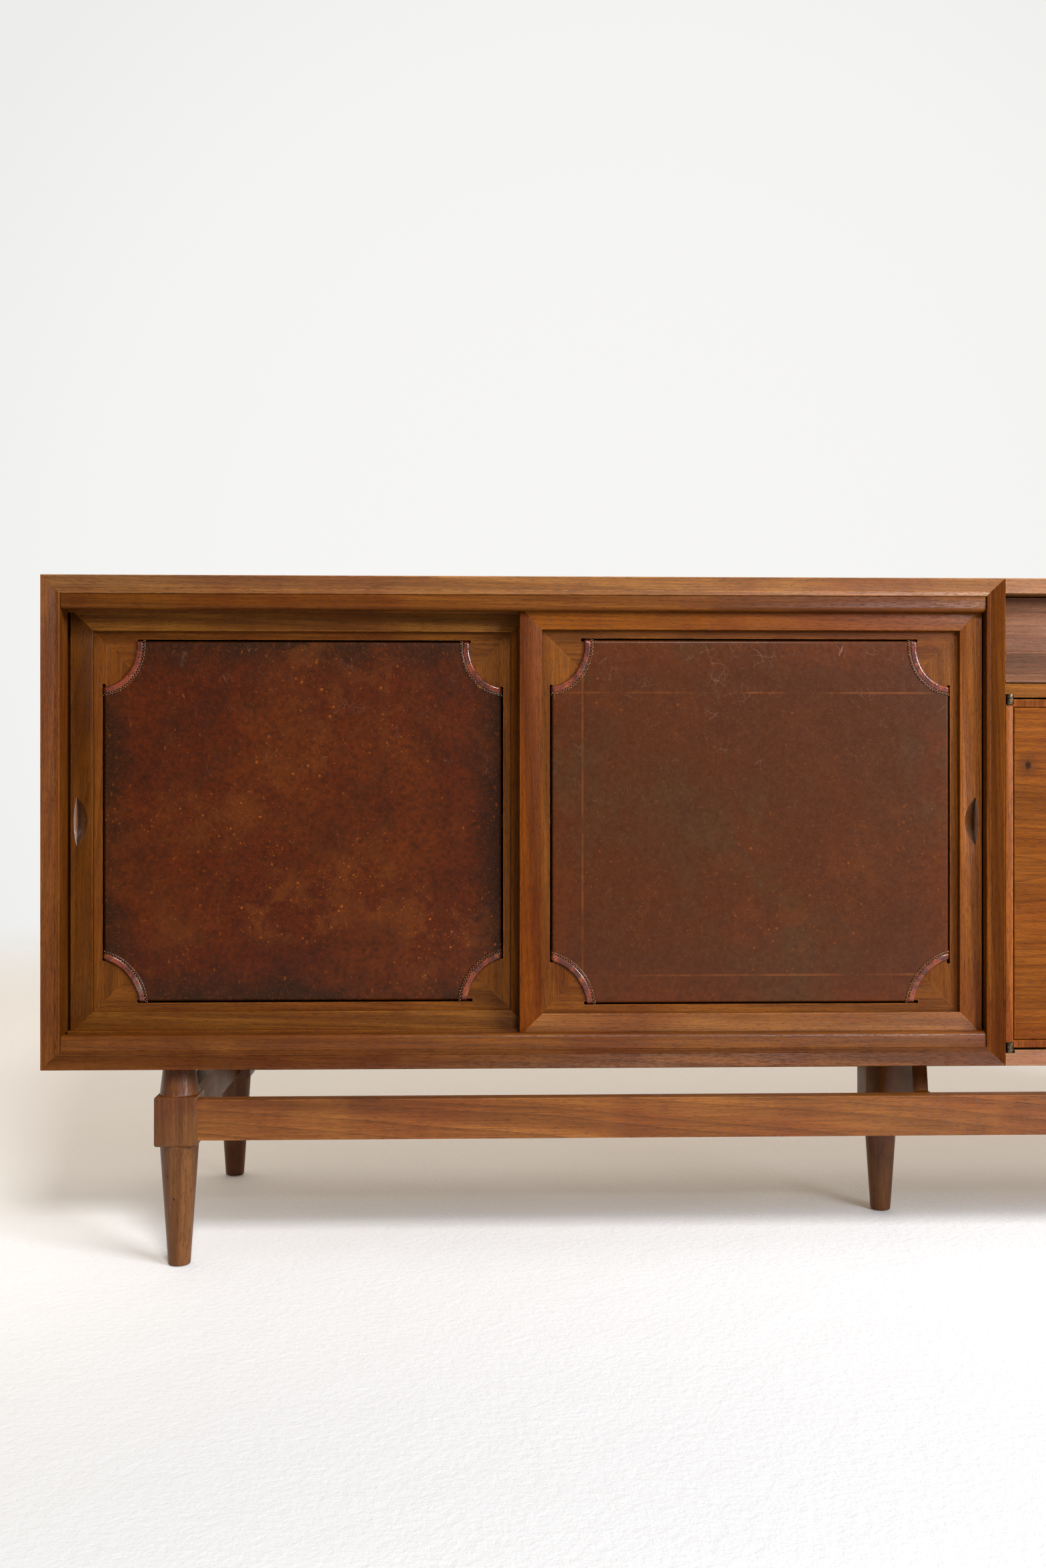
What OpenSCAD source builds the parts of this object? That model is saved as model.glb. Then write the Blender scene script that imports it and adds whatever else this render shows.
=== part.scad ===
// Sideboard buffet. A mitred case stands on a five-legged base. The left bay has a
// mitred picture frame and two leather-faced sliding doors. The right bay has two
// drawers over two hinged doors. X runs along the length, Y from front to back and
// Z up. The origin lies on the floor under the middle of the case. Millimetres.

/* [Case] */
// Overall length of the case
case_l = 2060; // [2000:10:2120]
// Overall depth of the case
case_d = 500; // [480:10:540]
// Height of the top above the floor
total_h = 800; // [780:5:830]
// Height of the case's underside above the floor
leg_h = 235; // [225:5:250]
// Thickness of the carcass boards
board_t = 17.5; // [16:0.5:19]
// Thickness of the two back panels
back_t = 8; // [6:1:9]

/* [Left bay frame] */
// Width of the left bay over its picture frame
left_bay_w = 1110; // [1080:10:1140]
// Width of the sloping part of the frame's face
bevel_w = 15.5; // [14:0.5:17]
// Width of the bead at the frame's inner edge
bead_w = 5; // [4:0.5:6]
// How far the bead lies behind the case's front
bead_back = 5; // [4:0.5:6]
// Depth of the frame bars from front to back
frame_depth = 18; // [16:1:20]

/* [Sliding doors] */
// Visible height of each track rail
track_face = 18; // [16:0.5:20]
// How far the front door lies behind the bead
front_door_back = 14; // [13:0.5:16]
// Thickness of a sliding door
slide_t = 26; // [24:1:26]
// Free space between the two sliding doors
slide_gap = 3; // [2.5:0.5:4]
// How far the two doors overlap when closed
slide_overlap = 17; // [14:1:24]
// Width of a door's raised outer band
band_w = 26; // [25:0.5:28]
// How far the inner panel lies behind the band
field_recess = 8; // [6:0.5:9]
// Width of plain wood between the band and the leather's slot
field_w = 9.5; // [8:0.5:11]
// Width of the slots that the leather's edges are tucked into
slot_w = 2.2; // [1.5:0.1:2.6]
// Thickness of the leather
leather_t = 3; // [2:0.5:4]
// Radius of the leather's hollow corners
corner_r = 39.5; // [36:0.5:46]
// Width of the bound edge around each hollow corner
binding_w = 7; // [5:0.5:9]
// Height of a finger pull
pull_h = 58; // [50:1:64]
// Width of a finger pull
pull_w = 13.2; // [10:0.2:14]
// Depth of a finger pull
pull_depth = 11; // [8:0.5:12]

/* [Right bay] */
// Height of the deck's underside, over the hinged doors
deck_z = 662; // [650:1:670]
// Thickness of the deck under the drawers
deck_t = 16; // [14:1:18]
// How far the hinged doors lie behind the case's front
hinged_back = 4; // [3.5:0.5:5]
// Thickness of a hinged door
hinged_t = 20; // [18:1:22]
// Width of a hinged door's lipping
lipping_w = 8.5; // [7:0.5:10]
// How far the upper part of a drawer front lies behind the case's front
drawer_recess = 31; // [28:1:34]
// Height of a drawer front's pull ledge above the deck
ledge_h = 38; // [34:1:42]
// Depth of a drawer box behind its front
drawer_l = 390; // [340:10:410]

/* [Base] */
// Distance from the case's end to the middle of an end leg
leg_inset = 149; // [120:1:180]
// Distance from the case's front to the middle of a front leg
leg_setback = 45; // [40:1:60]
// Side of a leg's square block
block_w = 50; // [46:1:54]
// Height of the block's lower edge above the floor
block_z = 142; // [130:1:150]
// Height of an end leg's block
block_h = 58; // [56:1:64]
// Diameter of the foot at the floor
foot_d = 26; // [22:1:30]
// Height of the rails between the legs
rail_h = 47; // [44:1:52]
// Thickness of the rails between the legs
rail_t = 20; // [18:1:24]

/* [Hidden] */
$fn = 96;

// Colours
walnut = [0.36, 0.20, 0.11];
walnut_light = [0.50, 0.30, 0.17];
walnut_dark = [0.27, 0.15, 0.09];
inside_wood = [0.58, 0.42, 0.27];
leather_brown = [0.25, 0.14, 0.09];
binding_red = [0.42, 0.16, 0.07];
dark_brass = [0.24, 0.20, 0.13];
steel = [0.55, 0.55, 0.57];

// Case
half_l = case_l / 2;
front_y = -case_d / 2;
back_y = case_d / 2;
ease = 0.6;
glue_line = 0.15;
edging_y = front_y + frame_depth;
back_inset = 4;
back_lap = board_t / 2;
back_panel_y = back_y - back_inset - back_t;
inner_z0 = leg_h + board_t;
inner_z1 = total_h - board_t;

// Left bay
frame_x0 = -half_l;
frame_x1 = frame_x0 + left_bay_w;
frame_w = bevel_w + bead_w;
bead_y = front_y + bead_back;
bead_step = 1.2;
left_inner_x0 = -half_l + board_t;
partition_x0 = frame_x1 - board_t;
opening_x0 = frame_x0 + frame_w;
opening_x1 = frame_x1 - frame_w;
opening_z0 = leg_h + frame_w + track_face;
opening_z1 = total_h - frame_w - track_face;

// Tracks: the lip in front of the first groove, two grooves and a rear land
track_y = bead_y + 2;
track_end_gap = 0.6;
track_arris_r = 5;
groove_side = 0.6;
tongue_t = 18;
tongue_in = 5.25;
top_groove = 12.5;
bottom_groove = tongue_in + 0.5;
track_land = 10;

// Sliding doors
slide_end_gap = 1;
front_door_y = bead_y + front_door_back;
rear_door_y = front_door_y + slide_t + slide_gap;
slide_w = (opening_x1 - opening_x0 - 2 * slide_end_gap + slide_overlap) / 2;
slide_h = opening_z1 - opening_z0 + 2 * tongue_in;
slide_z = opening_z0 - tongue_in;
left_slide_x = opening_x0 + slide_end_gap;
right_slide_x = opening_x1 - slide_end_gap - slide_w;
shoulder = tongue_in + 1;
panel_groove = 5.5;
panel_t = 10;
panel_in = band_w - panel_groove + 0.5;
slot_in = band_w + field_w;
slot_d = 5;
slot_past = 4;
leather_in = slot_in + slot_w;
corner_rise = 11.5;
binding_proud = 0.8;
pull_in = 7.3;
pull_rim_w = 3.3;
pull_rim_depth = 3;
track_depth = rear_door_y + tongue_t + groove_side + track_land - track_y;

// Right bay
bay_x0 = frame_x1;
bay_x1 = half_l - board_t;
divider_x0 = (bay_x0 + bay_x1 - board_t) / 2;
divider_x1 = divider_x0 + board_t;
deck_top = deck_z + deck_t;
hinged_y = front_y + hinged_back;
hinged_side_gap = 1.5;
hinged_mid_gap = 2;
hinged_end_gap = 2.2;
hinged_w = (bay_x1 - bay_x0 - 2 * hinged_side_gap - hinged_mid_gap) / 2;
hinged_z0 = inner_z0 + hinged_end_gap;
hinged_z1 = deck_z - hinged_end_gap;
hinged_h = hinged_z1 - hinged_z0;
reveal_w = 1.5;
reveal_d = 3;

// Hinges: a leaf let into the wood and a knuckle at the door's outer front corner
knuckle_r = 4.4;
hinge_pin_r = 1.55;
hinge_bore_r = 1.6;
hinge_in = 4.8;
hinge_behind = 1;
door_knuckle_h = 6;
case_knuckle_h = 3.6;
knuckle_gap = 0.15;
leaf_l = 40;
leaf_w = 10;
leaf_t = 1.2;
notch_r = knuckle_r + 0.3;

// Drawers
drawer_side_gap = 1;
drawer_top_gap = 1.5;
drawer_under_gap = 1.2;
drawer_front_t = 19;
drawer_face_y = front_y + drawer_recess;
drawer_back_y = drawer_face_y + drawer_front_t;
pull_face_y = front_y + 2;
pull_lip_h = 2.5;
pull_groove_y = pull_face_y + 10;
pull_groove_h = 10.5;
drawer_side_t = 12;
drawer_side_h = 84;
drawer_run = 0.5;
drawer_bottom_t = 6;
drawer_bottom_up = 9;
drawer_bottom_in = 5;

// Shelves
shelf_t = 17;
shelf_gap = 1;
left_shelf_z = 508;
right_shelf_z = 446;
batten_t = 14;
batten_h = 20;
batten_l = 300;
left_shelf_y = rear_door_y + slide_t + 20;
right_shelf_y = hinged_y + hinged_t + 30;

// Base
leg_x = half_l - leg_inset;
leg_y = case_d / 2 - leg_setback;
foot_top_d = 45;
neck_top_d = 36.5;
neck_base_d = 45;
foot_round = 3;
block_chamfer = 2;
rail_z = block_z + 7;
rail_back = 2;
bearer_t = 18;
bearer_rise_y = 184;
bearer_slope = 8;
rear_bearer_z = 190;
screw_r = 2;
screw_head_r = 4;
screw_head_h = 1.6;

// ---- Building blocks ----

// A box between two corners
module block(x0, x1, y0, y1, z0, z1) {
    translate([x0, y0, z0]) cube([x1 - x0, y1 - y0, z1 - z0]);
}

// An outline of [x, z] points, carried from y0 to y1
module prism_y(points, y0, y1) {
    translate([0, y1, 0]) rotate([90, 0, 0]) linear_extrude(y1 - y0) polygon(points);
}

// An outline of [y, z] points, carried from x0 to x1
module prism_x(points, x0, x1) {
    translate([x0, 0, 0]) rotate([90, 0, 90]) linear_extrude(x1 - x0) polygon(points);
}

// An outline of [x, y] points, carried from z0 to z1
module prism_z(points, z0, z1) {
    translate([0, 0, z0]) linear_extrude(z1 - z0) polygon(points);
}

// One bar of a w by h frame whose corners are mitred. The profile's points are
// [distance in from the outer edge, distance back from the front]. The level bars
// are shorter by the glue line at each end.
module mitred_bar(side, w, h, face, profile) {
    deep = max([for (p = profile) p[1]]) + 1;
    level = side == "bottom" || side == "top";
    intersection() {
        if (side == "bottom") prism_x([for (p = profile) [p[1], p[0]]], 0, w);
        else if (side == "top") prism_x([for (p = profile) [p[1], h - p[0]]], 0, w);
        else if (side == "left") prism_z([for (p = profile) [p[0], p[1]]], 0, h);
        else prism_z([for (p = profile) [w - p[0], p[1]]], 0, h);
        if (level) prism_y(level_wedge(w, side == "top" ? h : 0, side == "top" ? -face : face),
                           -1, deep);
        else prism_y(upright_wedge(h, side == "right" ? w : 0, side == "right" ? -face : face),
                     -1, deep);
    }
}

// The outline of a level bar's face, from its outer edge at z0 to its inner edge
function level_wedge(w, z0, face) = [
    [glue_line, z0], [w - glue_line, z0],
    [w - glue_line - abs(face), z0 + face], [glue_line + abs(face), z0 + face]
];

// The outline of an upright bar's face, from its outer edge at x0 to its inner edge
function upright_wedge(h, x0, face) = [
    [x0, 0], [x0, h], [x0 + face, h - abs(face)], [x0 + face, abs(face)]
];

// A square with its corners cut off, centred on the origin
function chamfered_square(w, c) = [
    [c - w / 2, -w / 2], [w / 2 - c, -w / 2], [w / 2, c - w / 2], [w / 2, w / 2 - c],
    [w / 2 - c, w / 2], [c - w / 2, w / 2], [-w / 2, w / 2 - c], [-w / 2, c - w / 2]
];

// A rectangle of [across, up] points with its corners cut off
function chamfered_rect(a0, a1, b0, b1, c) = [
    [a0 + c, b0], [a1 - c, b0], [a1, b0 + c], [a1, b1 - c],
    [a1 - c, b1], [a0 + c, b1], [a0, b1 - c], [a0, b0 + c]
];

// Part of a sphere below the plane y = 0 and past the plane x = 0: its edge in the
// face is an arc over the chord, and it is deepest in the middle of the chord.
module scoop(chord, bulge, depth) {
    face_r = (chord * chord / 4 + bulge * bulge) / (2 * bulge);
    to_chord = face_r - bulge;
    ahead = (face_r * face_r - to_chord * to_chord - depth * depth) / (2 * depth);
    intersection() {
        translate([-to_chord, -ahead, 0]) sphere(r = sqrt(face_r * face_r + ahead * ahead));
        translate([-0.05, -1, -chord]) cube([chord, depth + 2, 2 * chord]);
    }
}

// A half-moon finger pull that bulges towards +X
module finger_pull() {
    scoop(pull_h, pull_w, pull_depth);
    mirror([1, 0, 0]) scoop(pull_h, pull_rim_w, pull_rim_depth);
}

// A wood screw along -Z, with its head's top at the origin
module screw(length) {
    translate([0, 0, -screw_head_h]) cylinder(r1 = screw_r, r2 = screw_head_r, h = screw_head_h);
    translate([0, 0, -length]) cylinder(r = screw_r, h = length - screw_head_h);
}

// ---- Base ----

// The turned foot: a taper with a rounded lower edge
module foot() {
    r = foot_d / 2;
    edge = [for (a = [0 : 15 : 90]) [r - foot_round + foot_round * sin(a),
                                     foot_round - foot_round * cos(a)]];
    rotate_extrude() polygon(concat([[0, 0]], edge, [[foot_top_d / 2, block_z], [0, block_z]]));
}

// The square block with chamfered edges, from block_z up
module leg_block(height) {
    side = chamfered_rect(-block_w / 2, block_w / 2, block_z, block_z + height, block_chamfer);
    intersection() {
        prism_z(chamfered_square(block_w, block_chamfer), block_z, block_z + height);
        prism_x(side, -block_w, block_w);
        prism_y(side, -block_w, block_w);
    }
}

module end_leg(x, y) {
    color(walnut) translate([x, y, 0]) {
        foot();
        leg_block(block_h);
        translate([0, 0, block_z + block_h])
            cylinder(d1 = neck_base_d, d2 = neck_top_d, h = leg_h - block_z - block_h);
    }
}

module leg_front_left() { end_leg(-leg_x, -leg_y); }
module leg_front_right() { end_leg(leg_x, -leg_y); }
module leg_rear_left() { end_leg(-leg_x, leg_y); }
module leg_rear_right() { end_leg(leg_x, leg_y); }

module leg_center() {
    color(walnut) {
        foot();
        leg_block(leg_h - block_z);
    }
}

// A rail along X between two end legs; its face is set back from the blocks
module long_rail(face_y) {
    run = leg_x - block_w / 2;
    color(walnut_light) prism_x(
        chamfered_rect(face_y, face_y + rail_t, rail_z, rail_z + rail_h, ease), -run, run);
}

module rail_front() { long_rail(-leg_y - block_w / 2 + rail_back); }
module rail_rear() { long_rail(leg_y + block_w / 2 - rail_back - rail_t); }

module short_rail(x) {
    run = leg_y - block_w / 2;
    color(walnut) prism_y(
        chamfered_rect(x - rail_t / 2, x + rail_t / 2, rail_z, rail_z + rail_h, ease), -run, run);
}

module rail_left() { short_rail(-leg_x); }
module rail_right() { short_rail(leg_x); }

// The centre leg's bearers: the front one joins the rail and rises to the case beside the
// leg, and the rear one lies under the case
module center_bearers() {
    end_y = leg_y + block_w / 2 - rail_back - rail_t;
    start_y = block_w / 2;
    rail_top = rail_z + rail_h - 3;
    front = [[-start_y, rail_z], [-end_y, rail_z], [-end_y, rail_top],
             [-bearer_rise_y, rail_top], [bearer_slope - bearer_rise_y, leg_h],
             [-start_y, leg_h]];
    rear = [[start_y, rear_bearer_z], [bearer_rise_y - bearer_slope, rear_bearer_z],
            [bearer_rise_y, leg_h], [start_y, leg_h]];
    color(walnut_dark) for (outline = [front, rear])
        prism_x(outline, -bearer_t / 2, bearer_t / 2);
}

// Screws up through the centre bearers into the bottom board
module base_screws() {
    color(steel) for (at = [[-140, rail_z], [-70, rail_z], [70, rear_bearer_z],
                            [140, rear_bearer_z]])
        translate([0, at[0], at[1]]) rotate([180, 0, 0]) screw(leg_h - at[1] + 12);
}

// ---- Case ----

// The space that the back panels lie in, cut from the rear inner edges
module back_rebate() {
    block(-half_l + back_lap, half_l - back_lap, back_panel_y, back_y + 1,
          leg_h + back_lap, total_h - back_lap);
}

module top_board() {
    color(walnut) difference() {
        prism_y([[-half_l, total_h], [half_l, total_h], [half_l - board_t, inner_z1],
                 [-half_l + board_t, inner_z1]], edging_y, back_y);
        back_rebate();
    }
}

module bottom_board() {
    color(walnut) difference() {
        prism_y([[-half_l, leg_h], [half_l, leg_h], [half_l - board_t, inner_z0],
                 [-half_l + board_t, inner_z0]], edging_y, back_y);
        back_rebate();
    }
}

// An end of the case; turn is -1 at the left and 1 at the right
module case_side(turn) {
    outer = turn * half_l;
    inner = turn * (half_l - board_t);
    color(walnut) difference() {
        prism_y([[outer, leg_h], [outer, total_h], [inner, inner_z1], [inner, inner_z0]],
                edging_y, back_y);
        back_rebate();
    }
}

module side_left() { case_side(-1); }
module side_right() { case_side(1); }

module partition() {
    color(walnut) block(partition_x0, frame_x1, edging_y, back_panel_y, inner_z0, inner_z1);
}

module back_panel(x0, x1) {
    color(walnut_dark) block(x0, x1, back_panel_y, back_y - back_inset,
                             leg_h + back_lap, total_h - back_lap);
}

module back_panel_left() { back_panel(-half_l + back_lap, frame_x1 - board_t / 2); }
module back_panel_right() { back_panel(frame_x1 - board_t / 2, half_l - back_lap); }

// Screws around the back panels
module back_screws() {
    long_step = (case_l - 40) / 12;
    edge_in = 5;
    color(steel) for (z = [leg_h + back_lap + edge_in, total_h - back_lap - edge_in])
        for (i = [0 : 12])
            translate([-half_l + 20 + i * long_step, back_y - back_inset + screw_head_h, z])
                rotate([-90, 0, 0]) screw(15);
}

// ---- Left bay frame and tracks ----

frame_profile = [
    [0, ease], [ease, 0], [bevel_w, bead_back + bead_step], [bevel_w, bead_back],
    [frame_w - ease, bead_back], [frame_w, bead_back + ease],
    [frame_w, frame_depth], [0, frame_depth]
];

module frame_bar(side) {
    color(walnut) translate([frame_x0, front_y, leg_h])
        mitred_bar(side, left_bay_w, total_h - leg_h, frame_w, frame_profile);
}

module frame_top() { frame_bar("top"); }
module frame_bottom() { frame_bar("bottom"); }
module frame_left() { frame_bar("left"); }
module frame_right() { frame_bar("right"); }

// A track rail with its grooved side down. Its lower front arris is round, and it is
// rebated over the back of the frame.
module track(groove_d) {
    rise = track_face + frame_w - board_t;
    lap = edging_y - track_y;
    groove_w = tongue_t + 2 * groove_side;
    color(walnut) rotate([90, 0, 90])
        linear_extrude(opening_x1 - opening_x0 - 2 * track_end_gap) difference() {
            union() {
                translate([0, track_arris_r]) square([lap, track_face - track_arris_r]);
                translate([track_arris_r, 0]) square([lap, track_face]);
                translate([track_arris_r, track_arris_r]) circle(track_arris_r);
                translate([lap, 0]) square([track_depth - lap, rise]);
            }
            for (door_y = [front_door_y, rear_door_y])
                translate([door_y - groove_side - track_y, -1]) square([groove_w, groove_d + 1]);
        }
}

module track_top() {
    translate([opening_x0 + track_end_gap, track_y, opening_z1]) track(top_groove);
}

module track_bottom() {
    translate([opening_x0 + track_end_gap, track_y, opening_z0])
        mirror([0, 0, 1]) track(bottom_groove);
}

// ---- Sliding doors, drawn with the finger pull at the left ----

band_profile = [
    [0, ease], [ease, 0], [band_w - ease, 0], [band_w, ease],
    [band_w, field_recess], [band_w - panel_groove, field_recess],
    [band_w - panel_groove, field_recess + panel_t], [band_w, field_recess + panel_t],
    [band_w, slide_t], [0, slide_t]
];

// What is cut from a door's back edges to leave the two tongues
module tongue_cuts() {
    block(-1, slide_w + 1, tongue_t, slide_t + 1, -1, shoulder);
    block(-1, slide_w + 1, tongue_t, slide_t + 1, slide_h - shoulder, slide_h + 1);
}

module slide_stiles() {
    color(walnut) difference() {
        union() {
            mitred_bar("left", slide_w, slide_h, band_w, band_profile);
            mitred_bar("right", slide_w, slide_h, band_w, band_profile);
        }
        tongue_cuts();
        translate([pull_in, 0, slide_h / 2]) finger_pull();
    }
}

module slide_rails() {
    color(walnut) difference() {
        union() {
            mitred_bar("bottom", slide_w, slide_h, band_w, band_profile);
            mitred_bar("top", slide_w, slide_h, band_w, band_profile);
        }
        tongue_cuts();
    }
}

// The four slots that hold the leather's straight edges
module leather_slots() {
    y0 = field_recess - 1;
    y1 = field_recess + slot_d;
    low = leather_in + corner_rise + corner_r - slot_past;
    near = leather_in + corner_r - slot_past;
    for (x = [slot_in, slide_w - slot_in - slot_w])
        block(x, x + slot_w, y0, y1, low, slide_h - low);
    for (z = [slot_in, slide_h - slot_in - slot_w])
        block(near, slide_w - near, y0, y1, z, z + slot_w);
}

module slide_panel() {
    color(walnut_light) difference() {
        block(panel_in, slide_w - panel_in, field_recess, field_recess + panel_t,
              panel_in, slide_h - panel_in);
        leather_slots();
    }
}

// One outline, mirrored to the four corners of a door
module at_door_corners() {
    for (sx = [0, 1], sz = [0, 1])
        translate([slide_w / 2, slide_h / 2]) mirror([sx, 0]) mirror([0, sz])
            translate([-slide_w / 2, -slide_h / 2]) children();
}

// The wood that shows in a corner of the leather: a quarter round over a short
// straight part
module corner_cut(r) {
    translate([leather_in, leather_in + corner_rise]) {
        circle(r);
        translate([-r, -2 * corner_rise]) square([2 * r, 2 * corner_rise]);
    }
}

module leather_rect() {
    translate([leather_in, leather_in])
        square([slide_w - 2 * leather_in, slide_h - 2 * leather_in]);
}

module slide_leather() {
    color(leather_brown) translate([0, field_recess, 0]) rotate([90, 0, 0])
        linear_extrude(leather_t) difference() {
            leather_rect();
            at_door_corners() corner_cut(corner_r + binding_w);
        }
}

module slide_bindings() {
    color(binding_red) translate([0, field_recess, 0]) rotate([90, 0, 0])
        linear_extrude(leather_t + binding_proud) intersection() {
            leather_rect();
            at_door_corners() difference() {
                corner_cut(corner_r + binding_w);
                corner_cut(corner_r);
            }
        }
}

// The left door runs in the rear groove, the right one in the front groove
module as_left_slide() {
    translate([left_slide_x, rear_door_y, slide_z]) children();
}

module as_right_slide() {
    translate([right_slide_x + slide_w, front_door_y, slide_z]) mirror([1, 0, 0]) children();
}

module sliding_left_stiles() { as_left_slide() slide_stiles(); }
module sliding_left_rails() { as_left_slide() slide_rails(); }
module sliding_left_panel() { as_left_slide() slide_panel(); }
module sliding_left_leather() { as_left_slide() slide_leather(); }
module sliding_left_bindings() { as_left_slide() slide_bindings(); }
module sliding_right_stiles() { as_right_slide() slide_stiles(); }
module sliding_right_rails() { as_right_slide() slide_rails(); }
module sliding_right_panel() { as_right_slide() slide_panel(); }
module sliding_right_leather() { as_right_slide() slide_leather(); }
module sliding_right_bindings() { as_right_slide() slide_bindings(); }

// ---- Right bay ----

// Places a hinge's own frame: its axis is the pin and z = 0 halfway across the gap
// between door and case. The door lies below, and its leaf runs towards +X.
module at_hinge(x, z) {
    turn = x < (bay_x0 + bay_x1) / 2 ? 0 : 1;
    flip = z < (hinged_z0 + hinged_z1) / 2 ? 1 : 0;
    translate([x, hinged_y + hinge_behind, z]) mirror([turn, 0, 0]) mirror([0, 0, flip])
        children();
}

hinge_x_left = bay_x0 + hinged_side_gap + hinge_in;
hinge_x_right = bay_x1 - hinged_side_gap - hinge_in;
hinge_z_low = hinged_z0 - hinged_end_gap / 2;
hinge_z_high = hinged_z1 + hinged_end_gap / 2;

module leaf(z0) {
    block(0, leaf_l, -0.4, leaf_w - 0.4, z0, z0 + leaf_t);
}

module door_leaf() {
    door_top = -hinged_end_gap / 2;
    color(dark_brass) difference() {
        union() {
            translate([0, 0, door_top - door_knuckle_h])
                cylinder(r = knuckle_r, h = door_knuckle_h - door_top - knuckle_gap);
            leaf(door_top - leaf_t);
        }
        translate([0, 0, door_top - door_knuckle_h - 1])
            cylinder(r = hinge_bore_r, h = door_knuckle_h - door_top + 2);
    }
}

module case_leaf() {
    wood = hinged_end_gap / 2;
    color(dark_brass) {
        translate([0, 0, knuckle_gap])
            cylinder(r = knuckle_r, h = wood + case_knuckle_h - knuckle_gap);
        translate([0, 0, -wood - door_knuckle_h + 0.5])
            cylinder(r = hinge_pin_r, h = wood + door_knuckle_h);
        leaf(wood);
    }
}

// Wood cut away around a knuckle and under its leaf, on the door's side of the gap
module door_hinge_cut() {
    door_top = -hinged_end_gap / 2;
    block(-hinge_in - 1, notch_r, -hinge_behind - 1, notch_r,
          door_top - door_knuckle_h - 0.2, door_top + 1);
    leaf(door_top - leaf_t);
}

// The same on the case's side of the gap
module case_hinge_cut() {
    wood = hinged_end_gap / 2;
    block(-hinge_in - hinged_side_gap - 1, notch_r, -hinged_back - 6, notch_r,
          wood - 1, wood + case_knuckle_h + 0.2);
    leaf(wood);
}

module case_hinges() {
    for (x = [hinge_x_left, hinge_x_right], z = [hinge_z_low, hinge_z_high])
        at_hinge(x, z) case_leaf();
}

// The case's front edge around the right bay
module right_bay_edging() {
    color(walnut_light) difference() {
        union() {
            for (z = [[total_h, inner_z1], [leg_h, inner_z0]])
                prism_y([[bay_x0, z[0]], [half_l - glue_line, z[0]],
                         [bay_x1 - glue_line, z[1]], [bay_x0, z[1]]], front_y, edging_y);
            prism_y([[half_l, leg_h], [half_l, total_h], [bay_x1, inner_z1],
                     [bay_x1, inner_z0]], front_y, edging_y);
        }
        for (x = [hinge_x_left, hinge_x_right]) at_hinge(x, hinge_z_low) case_hinge_cut();
    }
}

module drawer_deck() {
    color(walnut_light) difference() {
        block(bay_x0, bay_x1, hinged_y, back_panel_y, deck_z, deck_top);
        for (x = [hinge_x_left, hinge_x_right]) at_hinge(x, hinge_z_high) case_hinge_cut();
    }
}

module drawer_divider() {
    color(walnut) block(divider_x0, divider_x1, hinged_y, back_panel_y, deck_top, inner_z1);
}

// Catches under the deck that also stop the two hinged doors
module door_catches() {
    middle = (bay_x0 + bay_x1) / 2;
    y0 = hinged_y + hinged_t + 0.5;
    color(dark_brass) for (x = [middle - 45, middle + 15])
        block(x, x + 30, y0, y0 + 16, deck_z - 9, deck_z);
}

// A hinged door, drawn with its hinges at the left
module hinged_lipping() {
    profile = [[0, ease], [ease, 0], [lipping_w, 0], [lipping_w, hinged_t], [0, hinged_t]];
    color(walnut_light) difference() {
        union() for (side = ["left", "right", "top", "bottom"])
            mitred_bar(side, hinged_w, hinged_h, lipping_w, profile);
        at_door_hinges() door_hinge_cut();
    }
}

// At the two hinge points of a door's own frame, the lower one upside down
module at_door_hinges() {
    for (flip = [0, 1])
        translate([hinge_in, hinge_behind, flip ? -hinged_end_gap / 2 : hinged_h + hinged_end_gap / 2])
            mirror([0, 0, flip]) children();
}

module hinged_panel() {
    low = lipping_w + reveal_w;
    cut = 0.8;
    color(walnut) difference() {
        union() {
            block(lipping_w, hinged_w - lipping_w, reveal_d, hinged_t,
                  lipping_w, hinged_h - lipping_w);
            intersection() {
                prism_z([[low, hinged_t / 2], [low, cut], [low + cut, 0],
                         [hinged_w - low - cut, 0], [hinged_w - low, cut],
                         [hinged_w - low, hinged_t / 2]], low, hinged_h - low);
                prism_x([[hinged_t / 2, low], [cut, low], [0, low + cut],
                         [0, hinged_h - low - cut], [cut, hinged_h - low],
                         [hinged_t / 2, hinged_h - low]], low, hinged_w - low);
            }
        }
        at_door_hinges() door_hinge_cut();
        translate([hinged_w - low - pull_in - pull_rim_w, 0, hinged_h / 2])
            mirror([1, 0, 0]) finger_pull();
    }
}

module hinged_hinges() {
    at_door_hinges() door_leaf();
}

module as_left_hinged() {
    translate([bay_x0 + hinged_side_gap, hinged_y, hinged_z0]) children();
}

module as_right_hinged() {
    translate([bay_x1 - hinged_side_gap, hinged_y, hinged_z0]) mirror([1, 0, 0]) children();
}

module hinged_left_lipping() { as_left_hinged() hinged_lipping(); }
module hinged_left_panel() { as_left_hinged() hinged_panel(); }
module hinged_left_hinges() { as_left_hinged() hinged_hinges(); }
module hinged_right_lipping() { as_right_hinged() hinged_lipping(); }
module hinged_right_panel() { as_right_hinged() hinged_panel(); }
module hinged_right_hinges() { as_right_hinged() hinged_hinges(); }

// ---- Drawers ----

// A drawer's front: a set-back upper part over a full-width pull with a V groove
module drawer_front(x0, x1) {
    low = deck_top + drawer_under_gap;
    ledge = deck_top + ledge_h;
    soft = 2;
    color(walnut) prism_x([
        [drawer_face_y, inner_z1 - drawer_top_gap], [drawer_face_y, ledge],
        [pull_face_y + soft, ledge], [pull_face_y, ledge - soft],
        [pull_groove_y, deck_top + pull_groove_h], [pull_face_y, deck_top + pull_lip_h + 1],
        [pull_face_y, low], [drawer_back_y, low], [drawer_back_y, inner_z1 - drawer_top_gap]
    ], x0 + drawer_side_gap, x1 - drawer_side_gap);
}

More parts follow.
